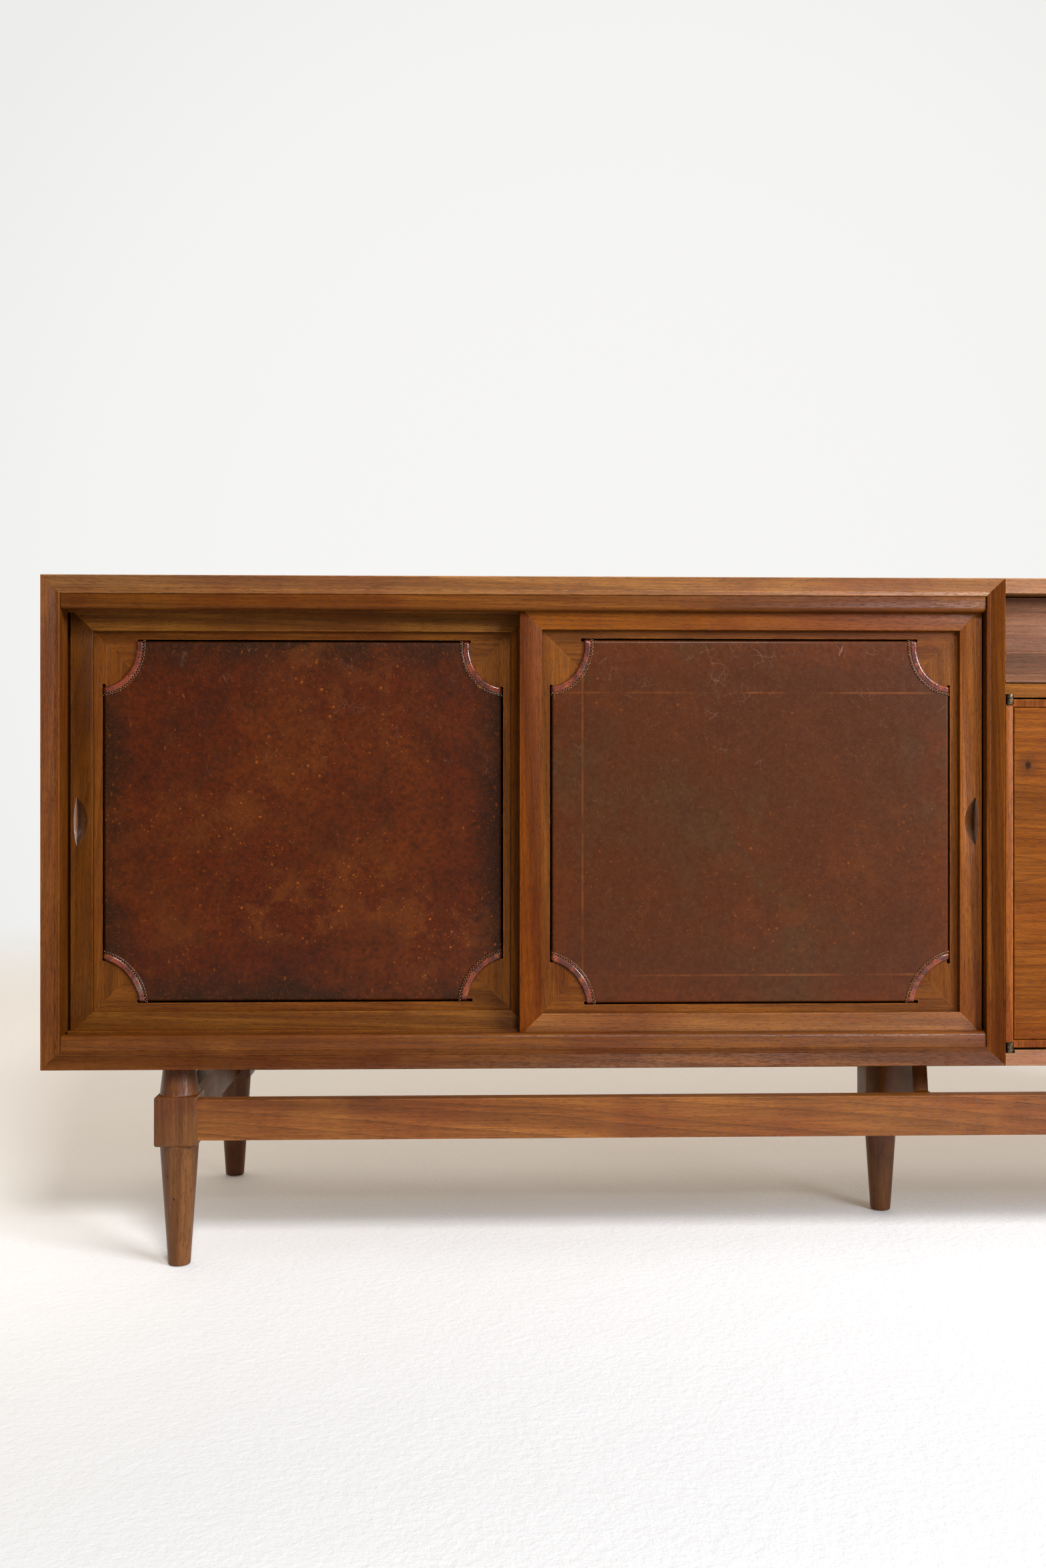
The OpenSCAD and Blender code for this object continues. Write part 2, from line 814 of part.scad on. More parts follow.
// The two sides and the back, grooved for the bottom
module drawer_box(x0, x1) {
    left = x0 + drawer_side_gap;
    right = x1 - drawer_side_gap;
    end = drawer_back_y + drawer_l;
    z0 = deck_top + drawer_run;
    z1 = z0 + drawer_side_h;
    color(inside_wood) difference() {
        union() {
            block(left, left + drawer_side_t, drawer_back_y, end, z0, z1);
            block(right - drawer_side_t, right, drawer_back_y, end, z0, z1);
            block(left + drawer_side_t, right - drawer_side_t, end - drawer_side_t, end,
                  z0 + drawer_bottom_up, z1 - 4);
        }
        drawer_bottom(x0, x1);
    }
}

module drawer_bottom(x0, x1) {
    side = drawer_side_gap + drawer_side_t - drawer_bottom_in;
    z0 = deck_top + drawer_run + drawer_bottom_up;
    color(inside_wood) block(x0 + side, x1 - side, drawer_back_y, drawer_back_y + drawer_l,
                             z0, z0 + drawer_bottom_t);
}

module drawer_left_front() { drawer_front(bay_x0, divider_x0); }
module drawer_left_box() { drawer_box(bay_x0, divider_x0); }
module drawer_left_bottom() { drawer_bottom(bay_x0, divider_x0); }
module drawer_right_front() { drawer_front(divider_x1, bay_x1); }
module drawer_right_box() { drawer_box(divider_x1, bay_x1); }
module drawer_right_bottom() { drawer_bottom(divider_x1, bay_x1); }

// ---- Shelves ----

module shelf_left() {
    color(inside_wood) block(left_inner_x0 + shelf_gap, partition_x0 - shelf_gap,
                             left_shelf_y, back_panel_y - shelf_gap,
                             left_shelf_z, left_shelf_z + shelf_t);
}

module shelf_right() {
    color(inside_wood) block(bay_x0 + shelf_gap, bay_x1 - shelf_gap,
                             right_shelf_y, back_panel_y - shelf_gap,
                             right_shelf_z, right_shelf_z + shelf_t);
}

// Battens screwed to the inner walls, on which the shelves rest
module shelf_battens() {
    y1 = back_panel_y - 20;
    color(inside_wood) {
        for (x = [left_inner_x0, partition_x0 - batten_t])
            block(x, x + batten_t, y1 - batten_l, y1, left_shelf_z - batten_h, left_shelf_z);
        for (x = [bay_x0, bay_x1 - batten_t])
            block(x, x + batten_t, y1 - batten_l, y1, right_shelf_z - batten_h, right_shelf_z);
    }
}

leg_front_left();
leg_front_right();
leg_rear_left();
leg_rear_right();
leg_center();
rail_front();
rail_rear();
rail_left();
rail_right();
center_bearers();
base_screws();
top_board();
bottom_board();
side_left();
side_right();
partition();
back_panel_left();
back_panel_right();
back_screws();
frame_top();
frame_bottom();
frame_left();
frame_right();
right_bay_edging();
track_top();
track_bottom();
shelf_left();
shelf_right();
shelf_battens();
drawer_deck();
drawer_divider();
door_catches();
case_hinges();
sliding_left_stiles();
sliding_left_rails();
sliding_left_panel();
sliding_left_leather();
sliding_left_bindings();
sliding_right_stiles();
sliding_right_rails();
sliding_right_panel();
sliding_right_leather();
sliding_right_bindings();
drawer_left_front();
drawer_left_box();
drawer_left_bottom();
drawer_right_front();
drawer_right_box();
drawer_right_bottom();
hinged_left_lipping();
hinged_left_panel();
hinged_left_hinges();
hinged_right_lipping();
hinged_right_panel();
hinged_right_hinges();
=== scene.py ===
import math
import random

import bmesh
import bpy
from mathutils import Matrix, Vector, noise
from mathutils.geometry import delaunay_2d_cdt


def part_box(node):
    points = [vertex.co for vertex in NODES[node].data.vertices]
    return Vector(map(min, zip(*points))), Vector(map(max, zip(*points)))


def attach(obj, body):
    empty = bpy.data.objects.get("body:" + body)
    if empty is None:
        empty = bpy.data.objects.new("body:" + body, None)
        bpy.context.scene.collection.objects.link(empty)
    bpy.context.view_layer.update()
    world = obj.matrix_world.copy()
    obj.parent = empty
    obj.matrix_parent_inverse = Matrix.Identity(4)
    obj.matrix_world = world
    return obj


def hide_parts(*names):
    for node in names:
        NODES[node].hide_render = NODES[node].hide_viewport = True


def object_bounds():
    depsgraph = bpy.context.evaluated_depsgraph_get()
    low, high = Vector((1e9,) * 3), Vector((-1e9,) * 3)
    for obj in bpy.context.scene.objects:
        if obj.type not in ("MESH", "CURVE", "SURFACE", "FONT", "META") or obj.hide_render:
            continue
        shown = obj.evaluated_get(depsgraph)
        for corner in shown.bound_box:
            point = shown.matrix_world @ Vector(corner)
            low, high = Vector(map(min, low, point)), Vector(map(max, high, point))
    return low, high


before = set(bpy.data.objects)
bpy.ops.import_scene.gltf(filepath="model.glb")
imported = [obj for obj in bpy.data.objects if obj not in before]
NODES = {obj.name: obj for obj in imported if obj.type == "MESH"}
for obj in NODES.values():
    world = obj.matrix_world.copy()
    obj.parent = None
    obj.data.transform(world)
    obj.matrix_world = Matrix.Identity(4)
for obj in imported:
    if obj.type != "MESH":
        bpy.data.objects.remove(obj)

# The looks of a walnut sideboard: oiled wood with its grain along each board, two
# sliding doors faced with old leather, aged brass, and a pale studio. The frame's own
# units are metres; MM turns millimetres into them.
MM = 0.001
random.seed(7)
cad_low, cad_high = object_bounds()


# ---- Shader nodes ----

class Graph:
    """A short way to write a node tree: most methods make a node and return its output."""

    def __init__(self, tree):
        self.tree = tree

    def node(self, kind, **settings):
        made = self.tree.nodes.new(kind)
        for name, value in settings.items():
            setattr(made, name, value)
        return made

    def feed(self, socket, value):
        if isinstance(value, bpy.types.NodeSocket):
            self.tree.links.new(value, socket)
        elif value is not None:
            socket.default_value = value

    def made(self, node, **values):
        """Feeds a node's named sockets."""
        for name, value in values.items():
            self.feed(node.inputs[name.replace("_", " ")], value)
        return node

    def math(self, operation, a, b=None):
        node = self.node("ShaderNodeMath", operation=operation)
        for socket, value in zip(node.inputs, (a, b)):
            self.feed(socket, value)
        return node.outputs[0]

    def vector(self, operation, a, b=None):
        node = self.node("ShaderNodeVectorMath", operation=operation)
        for socket, value in zip(node.inputs, (a, b)):
            self.feed(socket, value)
        return node.outputs["Value" if operation in ("LENGTH", "DOT_PRODUCT") else "Vector"]

    def split(self, vector):
        node = self.node("ShaderNodeSeparateXYZ")
        self.feed(node.inputs[0], vector)
        return node.outputs

    def join(self, x, y, z):
        node = self.node("ShaderNodeCombineXYZ")
        for socket, value in zip(node.inputs, (x, y, z)):
            self.feed(socket, value)
        return node.outputs[0]

    def noise(self, point, scale=1.0, detail=2.0, roughness=0.5, distortion=0.0):
        node = self.node("ShaderNodeTexNoise")
        self.made(node, Vector=point, Scale=scale, Detail=detail, Roughness=roughness,
                  Distortion=distortion)
        return node.outputs["Fac"]

    def noise_along(self, number):
        node = self.node("ShaderNodeTexNoise", noise_dimensions="1D")
        self.made(node, W=number, Scale=1.0, Detail=2.0)
        return node.outputs["Fac"]

    def noise_vector(self, point, scale=1.0, detail=2.0):
        """A noise in each axis, around zero."""
        node = self.made(self.node("ShaderNodeTexNoise"), Vector=point, Scale=scale, Detail=detail)
        return self.vector("SUBTRACT", node.outputs["Color"], (0.5, 0.5, 0.5))

    def cells(self, point, scale, feature="F1"):
        node = self.made(self.node("ShaderNodeTexVoronoi", feature=feature), Vector=point, Scale=scale)
        return node.outputs["Distance"]

    def step(self, value, low, high):
        """0 below low and 1 above high; a high under low turns it over."""
        node = self.node("ShaderNodeMapRange", interpolation_type="SMOOTHSTEP")
        if high < low:
            self.made(node, Value=value, From_Min=high, From_Max=low, To_Min=1.0, To_Max=0.0)
        else:
            self.made(node, Value=value, From_Min=low, From_Max=high)
        return node.outputs["Result"]

    def spread(self, value, low, high):
        """A value from 0 to 1, spread from low to high."""
        node = self.made(self.node("ShaderNodeMapRange"), Value=value, To_Min=low, To_Max=high)
        return node.outputs["Result"]

    def mix(self, share, a, b):
        node = self.node("ShaderNodeMix", data_type="RGBA")
        for socket, value in zip((node.inputs[0], node.inputs[6], node.inputs[7]), (share, a, b)):
            self.feed(socket, (*value, 1.0) if isinstance(value, tuple) else value)
        return node.outputs[2]

    def bump(self, height, distance):
        node = self.made(self.node("ShaderNodeBump"), Height=height, Distance=distance, Strength=1.0)
        return node.outputs[0]

    def place(self):
        return self.node("ShaderNodeTexCoord").outputs["Object"]


def material(name, **sockets):
    """A new material with its graph and shader; sockets are set on the shader itself."""
    made = bpy.data.materials.new(name)
    made.use_nodes = True
    shader = made.node_tree.nodes["Principled BSDF"]
    for label, value in sockets.items():
        shader.inputs[label.replace("_", " ")].default_value = value
    return made, Graph(made.node_tree), shader


# ---- Walnut ----

def walnut_pattern():
    """Grain as a node group. Its point has X along the grain and the pith at Y = Z = 0."""
    tree = bpy.data.node_groups.new("walnut_pattern", "ShaderNodeTree")
    for label, kind in (("Point", "NodeSocketVector"), ("Ring", "NodeSocketFloat"),
                        ("Slope", "NodeSocketFloat")):
        tree.interface.new_socket(label, in_out="INPUT", socket_type=kind)
    for label in ("Band", "Line", "Fibre", "Pore", "Patch"):
        tree.interface.new_socket(label, in_out="OUTPUT", socket_type="NodeSocketFloat")
    g = Graph(tree)
    inputs, outputs = g.node("NodeGroupInput").outputs, g.node("NodeGroupOutput").inputs
    point = inputs["Point"]
    stretched = g.vector("MULTIPLY", point, (1.6, 6.0, 6.0))
    wobble = g.vector("MULTIPLY", g.noise_vector(stretched), (0.0, 0.016, 0.016))
    wavy = g.vector("ADD", point, wobble)
    radius = g.vector("LENGTH", g.vector("MULTIPLY", wavy, (0.0, 1.0, 1.0)))
    taper = g.math("MULTIPLY", g.split(point)[0], inputs["Slope"])
    rings = g.math("DIVIDE", g.math("ADD", radius, taper), inputs["Ring"])
    g.feed(outputs["Band"], g.noise_along(g.math("MULTIPLY", rings, 0.45)))
    in_ring = g.math("FRACT", g.math("ADD", rings, g.noise_along(rings)))
    g.feed(outputs["Line"], g.math("POWER", in_ring, 5.0))
    g.feed(outputs["Fibre"], g.noise(g.vector("MULTIPLY", wavy, (13.0, 520.0, 520.0)), detail=3.0))
    pores = g.noise(g.vector("MULTIPLY", wavy, (110.0, 1250.0, 1250.0)), detail=2.0)
    g.feed(outputs["Pore"], g.step(pores, 0.54, 0.66))
    g.feed(outputs["Patch"], g.noise(g.vector("MULTIPLY", wavy, (3.0, 14.0, 14.0)), detail=3.0))
    return tree


PATTERN = walnut_pattern()


def grain_point(g, grain, pith, seed):
    """The point on the surface with the grain along X, in its own part of the tree."""
    x, y, z = g.split(g.place())
    along, across, depth = {"X": (x, z, y), "Z": (z, x, y), "Y": (y, x, z)}[grain]
    return g.join(g.math("ADD", along, 3.7 * seed), g.math("SUBTRACT", across, pith[0]),
                  g.math("SUBTRACT", depth, pith[1]))


def worn_and_highlit_edges(g, share):
    """Where an arris is rubbed light, here and there along it, with a painted highlight: rounded edges
    are painted lighter, for the highlights they catch.
    """
    flat = g.node("ShaderNodeNewGeometry").outputs["Normal"]
    eased = g.made(g.node("ShaderNodeBevel", samples=4), Radius=1.5 * MM).outputs[0]
    turned = g.step(g.vector("DOT_PRODUCT", flat, eased), 0.99, 0.90)
    patchy = g.step(g.noise(g.place(), 55.0, 4.0, 0.7), 0.36, 0.60)
    return g.math("MULTIPLY", g.math("MULTIPLY", turned, patchy), share)


def corner_shade(g, share):
    """Painted shade in the corners: darker where ambient occlusion finds the surface closed in."""
    node = g.made(g.node("ShaderNodeAmbientOcclusion", samples=6, only_local=True), Distance=5 * MM)
    return g.math("MULTIPLY", g.step(node.outputs["AO"], 0.70, 0.36), share)


def walnut(name, grain, tone, pith=(-0.9, 0.4), seed=0.0, ring=0.007, gloss=0.36, wear=0.12,
           shine=0.10, figure=0.3, slope=0.035, worm=0.0, rub_and_glint=0.7):
    """Oiled walnut; tone is its dark, middle and light colour."""
    made, g, shader = material(name)
    dark, middle, light = tone
    pattern = g.made(g.node("ShaderNodeGroup", node_tree=PATTERN), Ring=ring,
                     Slope=slope, Point=grain_point(g, grain, pith, seed)).outputs
    colour = g.mix(g.step(pattern["Band"], 0.34, 0.66), middle, light)
    red = tuple(c * k for c, k in zip(middle, (0.86, 0.62, 0.75)))
    aged = g.noise(g.vector("ADD", g.place(), (5.0, 2.0, 9.0)), 5.0, 5.0, 0.65)
    colour = g.mix(g.spread(g.step(aged, 0.40, 0.64), 0.0, 0.7), colour, red)
    colour = g.mix(g.spread(g.step(pattern["Patch"], 0.45, 0.75), 0.0, 0.4), colour, dark)
    colour = g.mix(g.math("MULTIPLY", pattern["Line"], figure), colour, dark)
    colour = g.mix(g.spread(g.step(pattern["Fibre"], 0.38, 0.68), 0.0, 0.36), colour, dark)
    colour = g.mix(g.math("MULTIPLY", pattern["Pore"], 0.38), colour,
                   tuple(0.3 * c for c in dark))
    rubbed = g.noise(g.place(), 11.0, 4.0, 0.65)
    colour = g.mix(g.spread(g.step(rubbed, 0.5, 0.75), 0.0, wear), colour, light)
    if worm:
        hole = g.math("MULTIPLY", g.step(g.cells(g.place(), 60.0), 0.10, 0.06), worm)
        eaten = g.step(g.noise(g.place(), 20.0, 2.0), 0.50, 0.58)
        colour = g.mix(g.math("MULTIPLY", hole, eaten), colour, (0.008, 0.004, 0.002))
    # Painted highlight and wear: rounded arrises, in patches, turn lighter than the lightest wood.
    colour = g.mix(worn_and_highlit_edges(g, rub_and_glint), colour, tuple(1.9 * c for c in light))
    # Painted shade: corners and recesses are darkened by how closed in they are.
    colour = g.mix(corner_shade(g, 0.8), colour, tuple(0.2 * c for c in dark))
    g.feed(shader.inputs["Base Color"], colour)
    shader.inputs["Specular IOR Level"].default_value = shine
    rough = g.spread(g.noise(g.place(), 23.0, 4.0, 0.6), gloss - 0.1, gloss + 0.14)
    g.feed(shader.inputs["Roughness"], rough)
    height = g.math("SUBTRACT", g.math("MULTIPLY", pattern["Fibre"], 0.5), pattern["Pore"])
    g.feed(shader.inputs["Normal"], g.bump(height, 0.12 * MM))
    return made


BROWN = ((0.024, 0.0060, 0.0008), (0.100, 0.0275, 0.0018), (0.158, 0.0470, 0.0042))
ORANGE = ((0.040, 0.0115, 0.0016), (0.150, 0.0460, 0.0050), (0.220, 0.0740, 0.0100))
DEEP = ((0.020, 0.0055, 0.0010), (0.076, 0.0215, 0.0032), (0.120, 0.0370, 0.0065))
PALE = ((0.085, 0.034, 0.0100), (0.230, 0.095, 0.0330), (0.320, 0.150, 0.0620))
GREYED = ((0.040, 0.0140, 0.0055), (0.135, 0.0460, 0.0165), (0.190, 0.0730, 0.0300))
BASE = ((0.034, 0.0105, 0.0026), (0.128, 0.0410, 0.0085), (0.185, 0.0660, 0.0150))
INSIDE = ((0.250, 0.140, 0.065), (0.420, 0.260, 0.130), (0.520, 0.350, 0.190))


def tinted(tone, red, green, blue):
    """A tone with each of its colours multiplied."""
    return tuple((r * red, g * green, b * blue) for r, g, b in tone)


def arris(obj, width):
    """Rounds the sharp edges of a CAD part a little."""
    obj.modifiers.new("join faces", "WELD").merge_threshold = 0.001 * MM
    flat = obj.modifiers.new("one face per plane", "DECIMATE")
    flat.decimate_type = "DISSOLVE"
    flat.angle_limit = math.radians(0.4)
    bevel = obj.modifiers.new("arris", "BEVEL")
    bevel.width = width
    bevel.segments = 2
    bevel.limit_method = "ANGLE"
    bevel.angle_limit = math.radians(28)
    bevel.harden_normals = True
    for face in obj.data.polygons:
        face.use_smooth = True


def paint(node, *materials, arris_width=0.35 * MM):
    """Gives a CAD part its materials and eased edges."""
    obj = NODES[node]
    obj.data.materials.clear()
    for made in materials:
        obj.data.materials.append(made)
    if arris_width:
        arris(obj, arris_width)
    return obj


def paint_case():
    for seed, node in enumerate(("top_board", "bottom_board")):
        paint(node, walnut(node, "X", ORANGE, seed=seed, pith=(-0.2, -0.1), gloss=0.5, shine=0.08))
    for seed, node in enumerate(("side_left", "side_right", "partition", "drawer_divider")):
        paint(node, walnut(node, "Z", BROWN, seed=seed + 2, pith=(0.1, 0.03 * seed)))
    for seed, node in enumerate(("back_panel_left", "back_panel_right")):
        paint(node, walnut(node, "X", PALE, seed=seed + 6, gloss=0.6, pith=(0.4, 0.1), ring=0.012))
    # Painted sheen: the frame's top piece has a lighter, bluer tone than the rest of the frame, for
    # the sheen on its bevel.
    paint("frame_top", walnut("frame_top", "X", tinted(ORANGE, 1.14, 1.28, 1.7), seed=8, shine=0.3))
    paint("frame_bottom", walnut("frame_bottom", "X", DEEP, seed=9, wear=0.3, shine=0.08))
    # The left piece's arrises get more of the painted highlight and wear.
    paint("frame_left", walnut("frame_left", "Z", BROWN, seed=10, rub_and_glint=1.0))
    # Painted shade: the frame's right piece has a darker tone, because its bevel faces away from the
    # light.
    paint("frame_right", walnut("frame_right", "Z", tinted(BROWN, 0.8, 0.72, 0.6), seed=11,
                                shine=0.06))
    paint("track_top", walnut("track_top", "X", BROWN, seed=12))
    paint("track_bottom", walnut("track_bottom", "X", BROWN, seed=13, shine=0.18))
    paint("drawer_deck", walnut("drawer_deck", "X", ORANGE, seed=14))
    for seed, node in enumerate(("shelf_left", "shelf_right")):
        paint(node, walnut(node, "X", INSIDE, seed=seed + 16, gloss=0.55))
    paint("shelf_battens", walnut("shelf_battens", "Y", INSIDE, seed=18, gloss=0.6))
    edging = paint("right_bay_edging", walnut("edging_long", "X", PALE, seed=19, shine=0.35),
                   walnut("edging_upright", "Z", PALE, seed=20, shine=0.2))
    low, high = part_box("right_bay_edging")
    board, mitre = 17.5 * MM, 35 * MM
    for face in edging.data.polygons:
        x, _, z = face.center
        upright = x > high.x - board and low.z + mitre < z < high.z - mitre
        face.material_index = 1 if upright else 0


def paint_base():
    for seed, node in enumerate(("leg_front_left", "leg_front_right", "leg_rear_left",
                                 "leg_rear_right", "leg_center")):
        paint(node, walnut(node, "Z", tinted(BASE, 0.80, 0.82, 0.85), seed=seed + 21,
                           pith=(0.02, 0.03), worm=0.9, shine=0.22))
    for seed, node in enumerate(("rail_front", "rail_rear")):
        paint(node, walnut(node, "X", tinted(BASE, 1.3, 1.25, 1.05), seed=seed + 27,
                           pith=(0.05, 0.06), ring=0.006, wear=0.3, shine=0.2, figure=0.6,
                           slope=0.03))
    for seed, node in enumerate(("rail_left", "rail_right", "center_bearers")):
        paint(node, walnut(node, "Y", BROWN, seed=seed + 30))


def knot(made, x, z):
    """A small dark knot in a panel's wood."""
    g = Graph(made.node_tree)
    shader = made.node_tree.nodes["Principled BSDF"]
    under = shader.inputs["Base Color"].links[0].from_socket
    across, _, up = g.split(g.vector("ADD", g.place(), g.vector(
        "MULTIPLY", g.noise_vector(g.place(), 55.0), (0.008, 0.0, 0.010))))
    away = g.vector("LENGTH", g.join(g.math("SUBTRACT", across, x), 0.0,
                                     g.math("MULTIPLY", g.math("SUBTRACT", up, z), 0.8)))
    colour = g.mix(g.spread(g.step(away, 16 * MM, 5 * MM), 0.0, 0.55), under, (0.06, 0.016, 0.003))
    colour = g.mix(g.step(away, 5 * MM, 2 * MM), colour, (0.02, 0.006, 0.002))
    g.feed(shader.inputs["Base Color"], colour)


def polish_pull(node, reach=30 * MM, skin=0.2 * MM, flat=0.995):
    """Gives the hollow of a finger pull, halfway up a board, a varnished finish. Its faces
    are within reach of that height, behind the board's skin, and not parallel to it."""
    low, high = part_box(node)
    mesh, middle = NODES[node].data, (low.z + high.z) / 2
    mesh.materials.append(walnut(f"{node}_pull", "Z", DEEP, seed=60, gloss=0.24, shine=0.9))
    for face in mesh.polygons:
        near = all(abs(mesh.vertices[i].co.z - middle) < reach for i in face.vertices)
        if near and face.center.y > low.y + skin and abs(face.normal.y) < flat:
            face.material_index = len(mesh.materials) - 1


def paint_fronts():
    for seed, side in enumerate(("left", "right")):
        # The drawer fronts' arrises get more of the painted highlight and wear.
        paint(f"drawer_{side}_front", walnut(f"drawer_{side}_front", "X", GREYED, seed=seed + 34,
                                               shine=0.35, rub_and_glint=1.0))
        for part in ("box", "bottom"):
            name = f"drawer_{side}_{part}"
            paint(name, walnut(name, "Y" if part == "box" else "X", INSIDE, seed=seed + 36, gloss=0.6))
        paint(f"hinged_{side}_lipping", walnut(f"hinged_{side}_lipping", "Z",
                                               tinted(ORANGE, 1.0, 0.8, 0.7), seed=seed + 38))
        paint(f"hinged_{side}_panel", walnut(f"hinged_{side}_panel", "X",
                                             tinted(ORANGE, 0.93, 0.78, 0.5), seed=seed + 40,
                                             pith=(0.46, -0.19), ring=0.008, figure=0.5,
                                             shine=0.07))
        if side == "left":
            low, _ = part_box("hinged_left_panel")
            knot(NODES["hinged_left_panel"].data.materials[0], low.x + 18.5 * MM,
                 low.z + 320.8 * MM)
        for part in ("stiles", "rails"):
            paint_lit_boards(side, part, seed)
        polish_pull(f"hinged_{side}_panel")
        polish_pull(f"sliding_{side}_stiles")


# The tone and shine of each board round a sliding door's field: the left and the right stile, and the
# bottom and the top rail. They are lit and shaded copies of one wood, with light and shade painted
# into each tone: the left door's stiles darker for the shade of the right door and their deeper
# recess, the right door's top rail darker in the shade under the frame, and the right door's bottom
# rail lighter and bluer for the sheen it catches.
BOARD_LIGHT_AND_SHADE = {
    ("left", "stiles"): ((tinted(BROWN, 0.64, 0.64, 0.4), 0.08),
                         (tinted(BROWN, 0.83, 0.76, 0.2), 0.05)),
    ("left", "rails"): ((tinted(BROWN, 1.16, 1.32, 1.6), 0.14),
                        (tinted(BROWN, 1.34, 1.62, 1.8), 0.10)),
    ("right", "stiles"): ((tinted(BROWN, 0.84, 0.62, 0.1), 0.07),
                          (tinted(BROWN, 1.22, 1.15, 1.0), 0.14)),
    ("right", "rails"): ((tinted(ORANGE, 1.18, 1.22, 1.8), 0.22),
                         (tinted(ORANGE, 0.84, 0.68, 0.2), 0.10)),
}


def paint_lit_boards(side, part, seed):
    """A sliding door's stiles or rails, each of the two with its own tone of painted light and shade.
    """
    name, grain = f"sliding_{side}_{part}", "Z" if part == "stiles" else "X"
    lit_copies = [walnut(f"{name}_{i}", grain, tone, seed=seed + 42 + 5 * i, shine=shine)
             for i, (tone, shine) in enumerate(BOARD_LIGHT_AND_SHADE[side, part])]
    obj = paint(name, *lit_copies)
    low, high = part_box(name)
    axis = 0 if part == "stiles" else 2
    for face in obj.data.polygons:
        face.material_index = 1 if face.center[axis] > (low[axis] + high[axis]) / 2 else 0


# ---- Metal ----

def metal(name, colour, rough):
    """Aged metal with darker stains."""
    made, g, shader = material(name, Metallic=1.0)
    stain = g.step(g.noise(g.place(), 260.0, 4.0, 0.6), 0.4, 0.65)
    g.feed(shader.inputs["Base Color"], g.mix(stain, colour, tuple(0.35 * c for c in colour)))
    g.feed(shader.inputs["Roughness"], g.spread(stain, rough, rough + 0.25))
    g.feed(shader.inputs["Normal"], g.bump(stain, 0.05 * MM))
    return made


def paint_metal():
    brass = metal("dark_brass", (0.120, 0.085, 0.050), 0.40)
    steel = metal("screw_steel", (0.50, 0.48, 0.45), 0.4)
    for node in ("case_hinges", "hinged_left_hinges", "hinged_right_hinges", "door_catches"):
        paint(node, brass, arris_width=0.2 * MM)
    for node in ("back_screws", "base_screws"):
        paint(node, steel, arris_width=0)


# ---- Meshes from outlines ----

def new_object(name, points, faces, *materials):
    """A mesh object whose faces look outwards."""
    mesh = bpy.data.meshes.new(name)
    mesh.from_pydata([tuple(p) for p in points], [], faces)
    shape = bmesh.new()
    shape.from_mesh(mesh)
    bmesh.ops.recalc_face_normals(shape, faces=shape.faces)
    shape.to_mesh(mesh)
    shape.free()
    for made in materials:
        mesh.materials.append(made)
    made = bpy.data.objects.new(name, mesh)
    bpy.context.scene.collection.objects.link(made)
    return made


def inside(point, loop):
    """Whether a flat point lies inside a closed loop."""
    x, z = point
    found = False
    for (x0, z0), (x1, z1) in zip(loop, loop[1:] + loop[:1]):
        if (z0 > z) != (z1 > z) and x < x0 + (z - z0) * (x1 - x0) / (z1 - z0):
            found = not found
    return found


def triangles(outline, holes=(), extra=()):
    """Points and triangles that fill a flat outline. The loops' points come first."""
    loops, points, edges = [outline, *holes], [], []
    for loop in loops:
        start = len(points)
        points += loop
        edges += [(start + i, start + (i + 1) % len(loop)) for i in range(len(loop))]
    points += list(extra)
    flat, _, faces, back, _, _ = delaunay_2d_cdt([Vector(p) for p in points], edges, [], 1, 1e-9)
    flat = [tuple(p) for p in flat]
    if len(flat) != len(points) or any(b[0] != i for i, b in enumerate(back)):
        raise ValueError("the outline's points don't come back as they went in")
    kept = []
    for face in faces:
        middle = [sum(flat[i][k] for i in face) / 3 for k in (0, 1)]
        if inside(middle, outline) and not any(inside(middle, hole) for hole in holes):
            kept.append(tuple(face))
    return flat, kept


def walls(loops, layer):
    """The faces round the edges of two equal layers of points."""
    faces, start = [], 0
    for loop in loops:
        size = len(loop)
        for i in range(size):
            a, b = start + i, start + (i + 1) % size
            faces.append((b, a, a + layer, b + layer))
        start += size
    return faces


def slab(outline, holes, front, back):
    """The points and faces of a plate in the XZ plane, closed all round."""
    flat, faces = triangles(outline, holes)
    n = len(flat)
    points = [(x, front, z) for x, z in flat] + [(x, back, z) for x, z in flat]
    shape = faces + [tuple(i + n for i in reversed(f)) for f in faces]
    return points, shape + walls([outline, *holes], n)


def add_up(parts):
    """Several (points, faces) as one."""
    points, faces = [], []
    for some, shape in parts:
        start = len(points)
        points += some
        faces += [tuple(i + start for i in f) for f in shape]
    return points, faces


def sweep(rows):
    """A closed tube through rows of points, each row a closed section."""
    size, points = len(rows[0]), [p for row in rows for p in row]
    faces = [tuple(range(size)), tuple(range(len(points) - size, len(points)))]
    for r in range(len(rows) - 1):
        for i in range(size):
            a, b = r * size + i, r * size + (i + 1) % size
            faces.append((a, b, b + size, a + size))
    return points, faces


def smooth(obj):
    """Shades a mesh smooth."""
    for face in obj.data.polygons:
        face.use_smooth = True
    return obj


# ---- Sliding doors ----

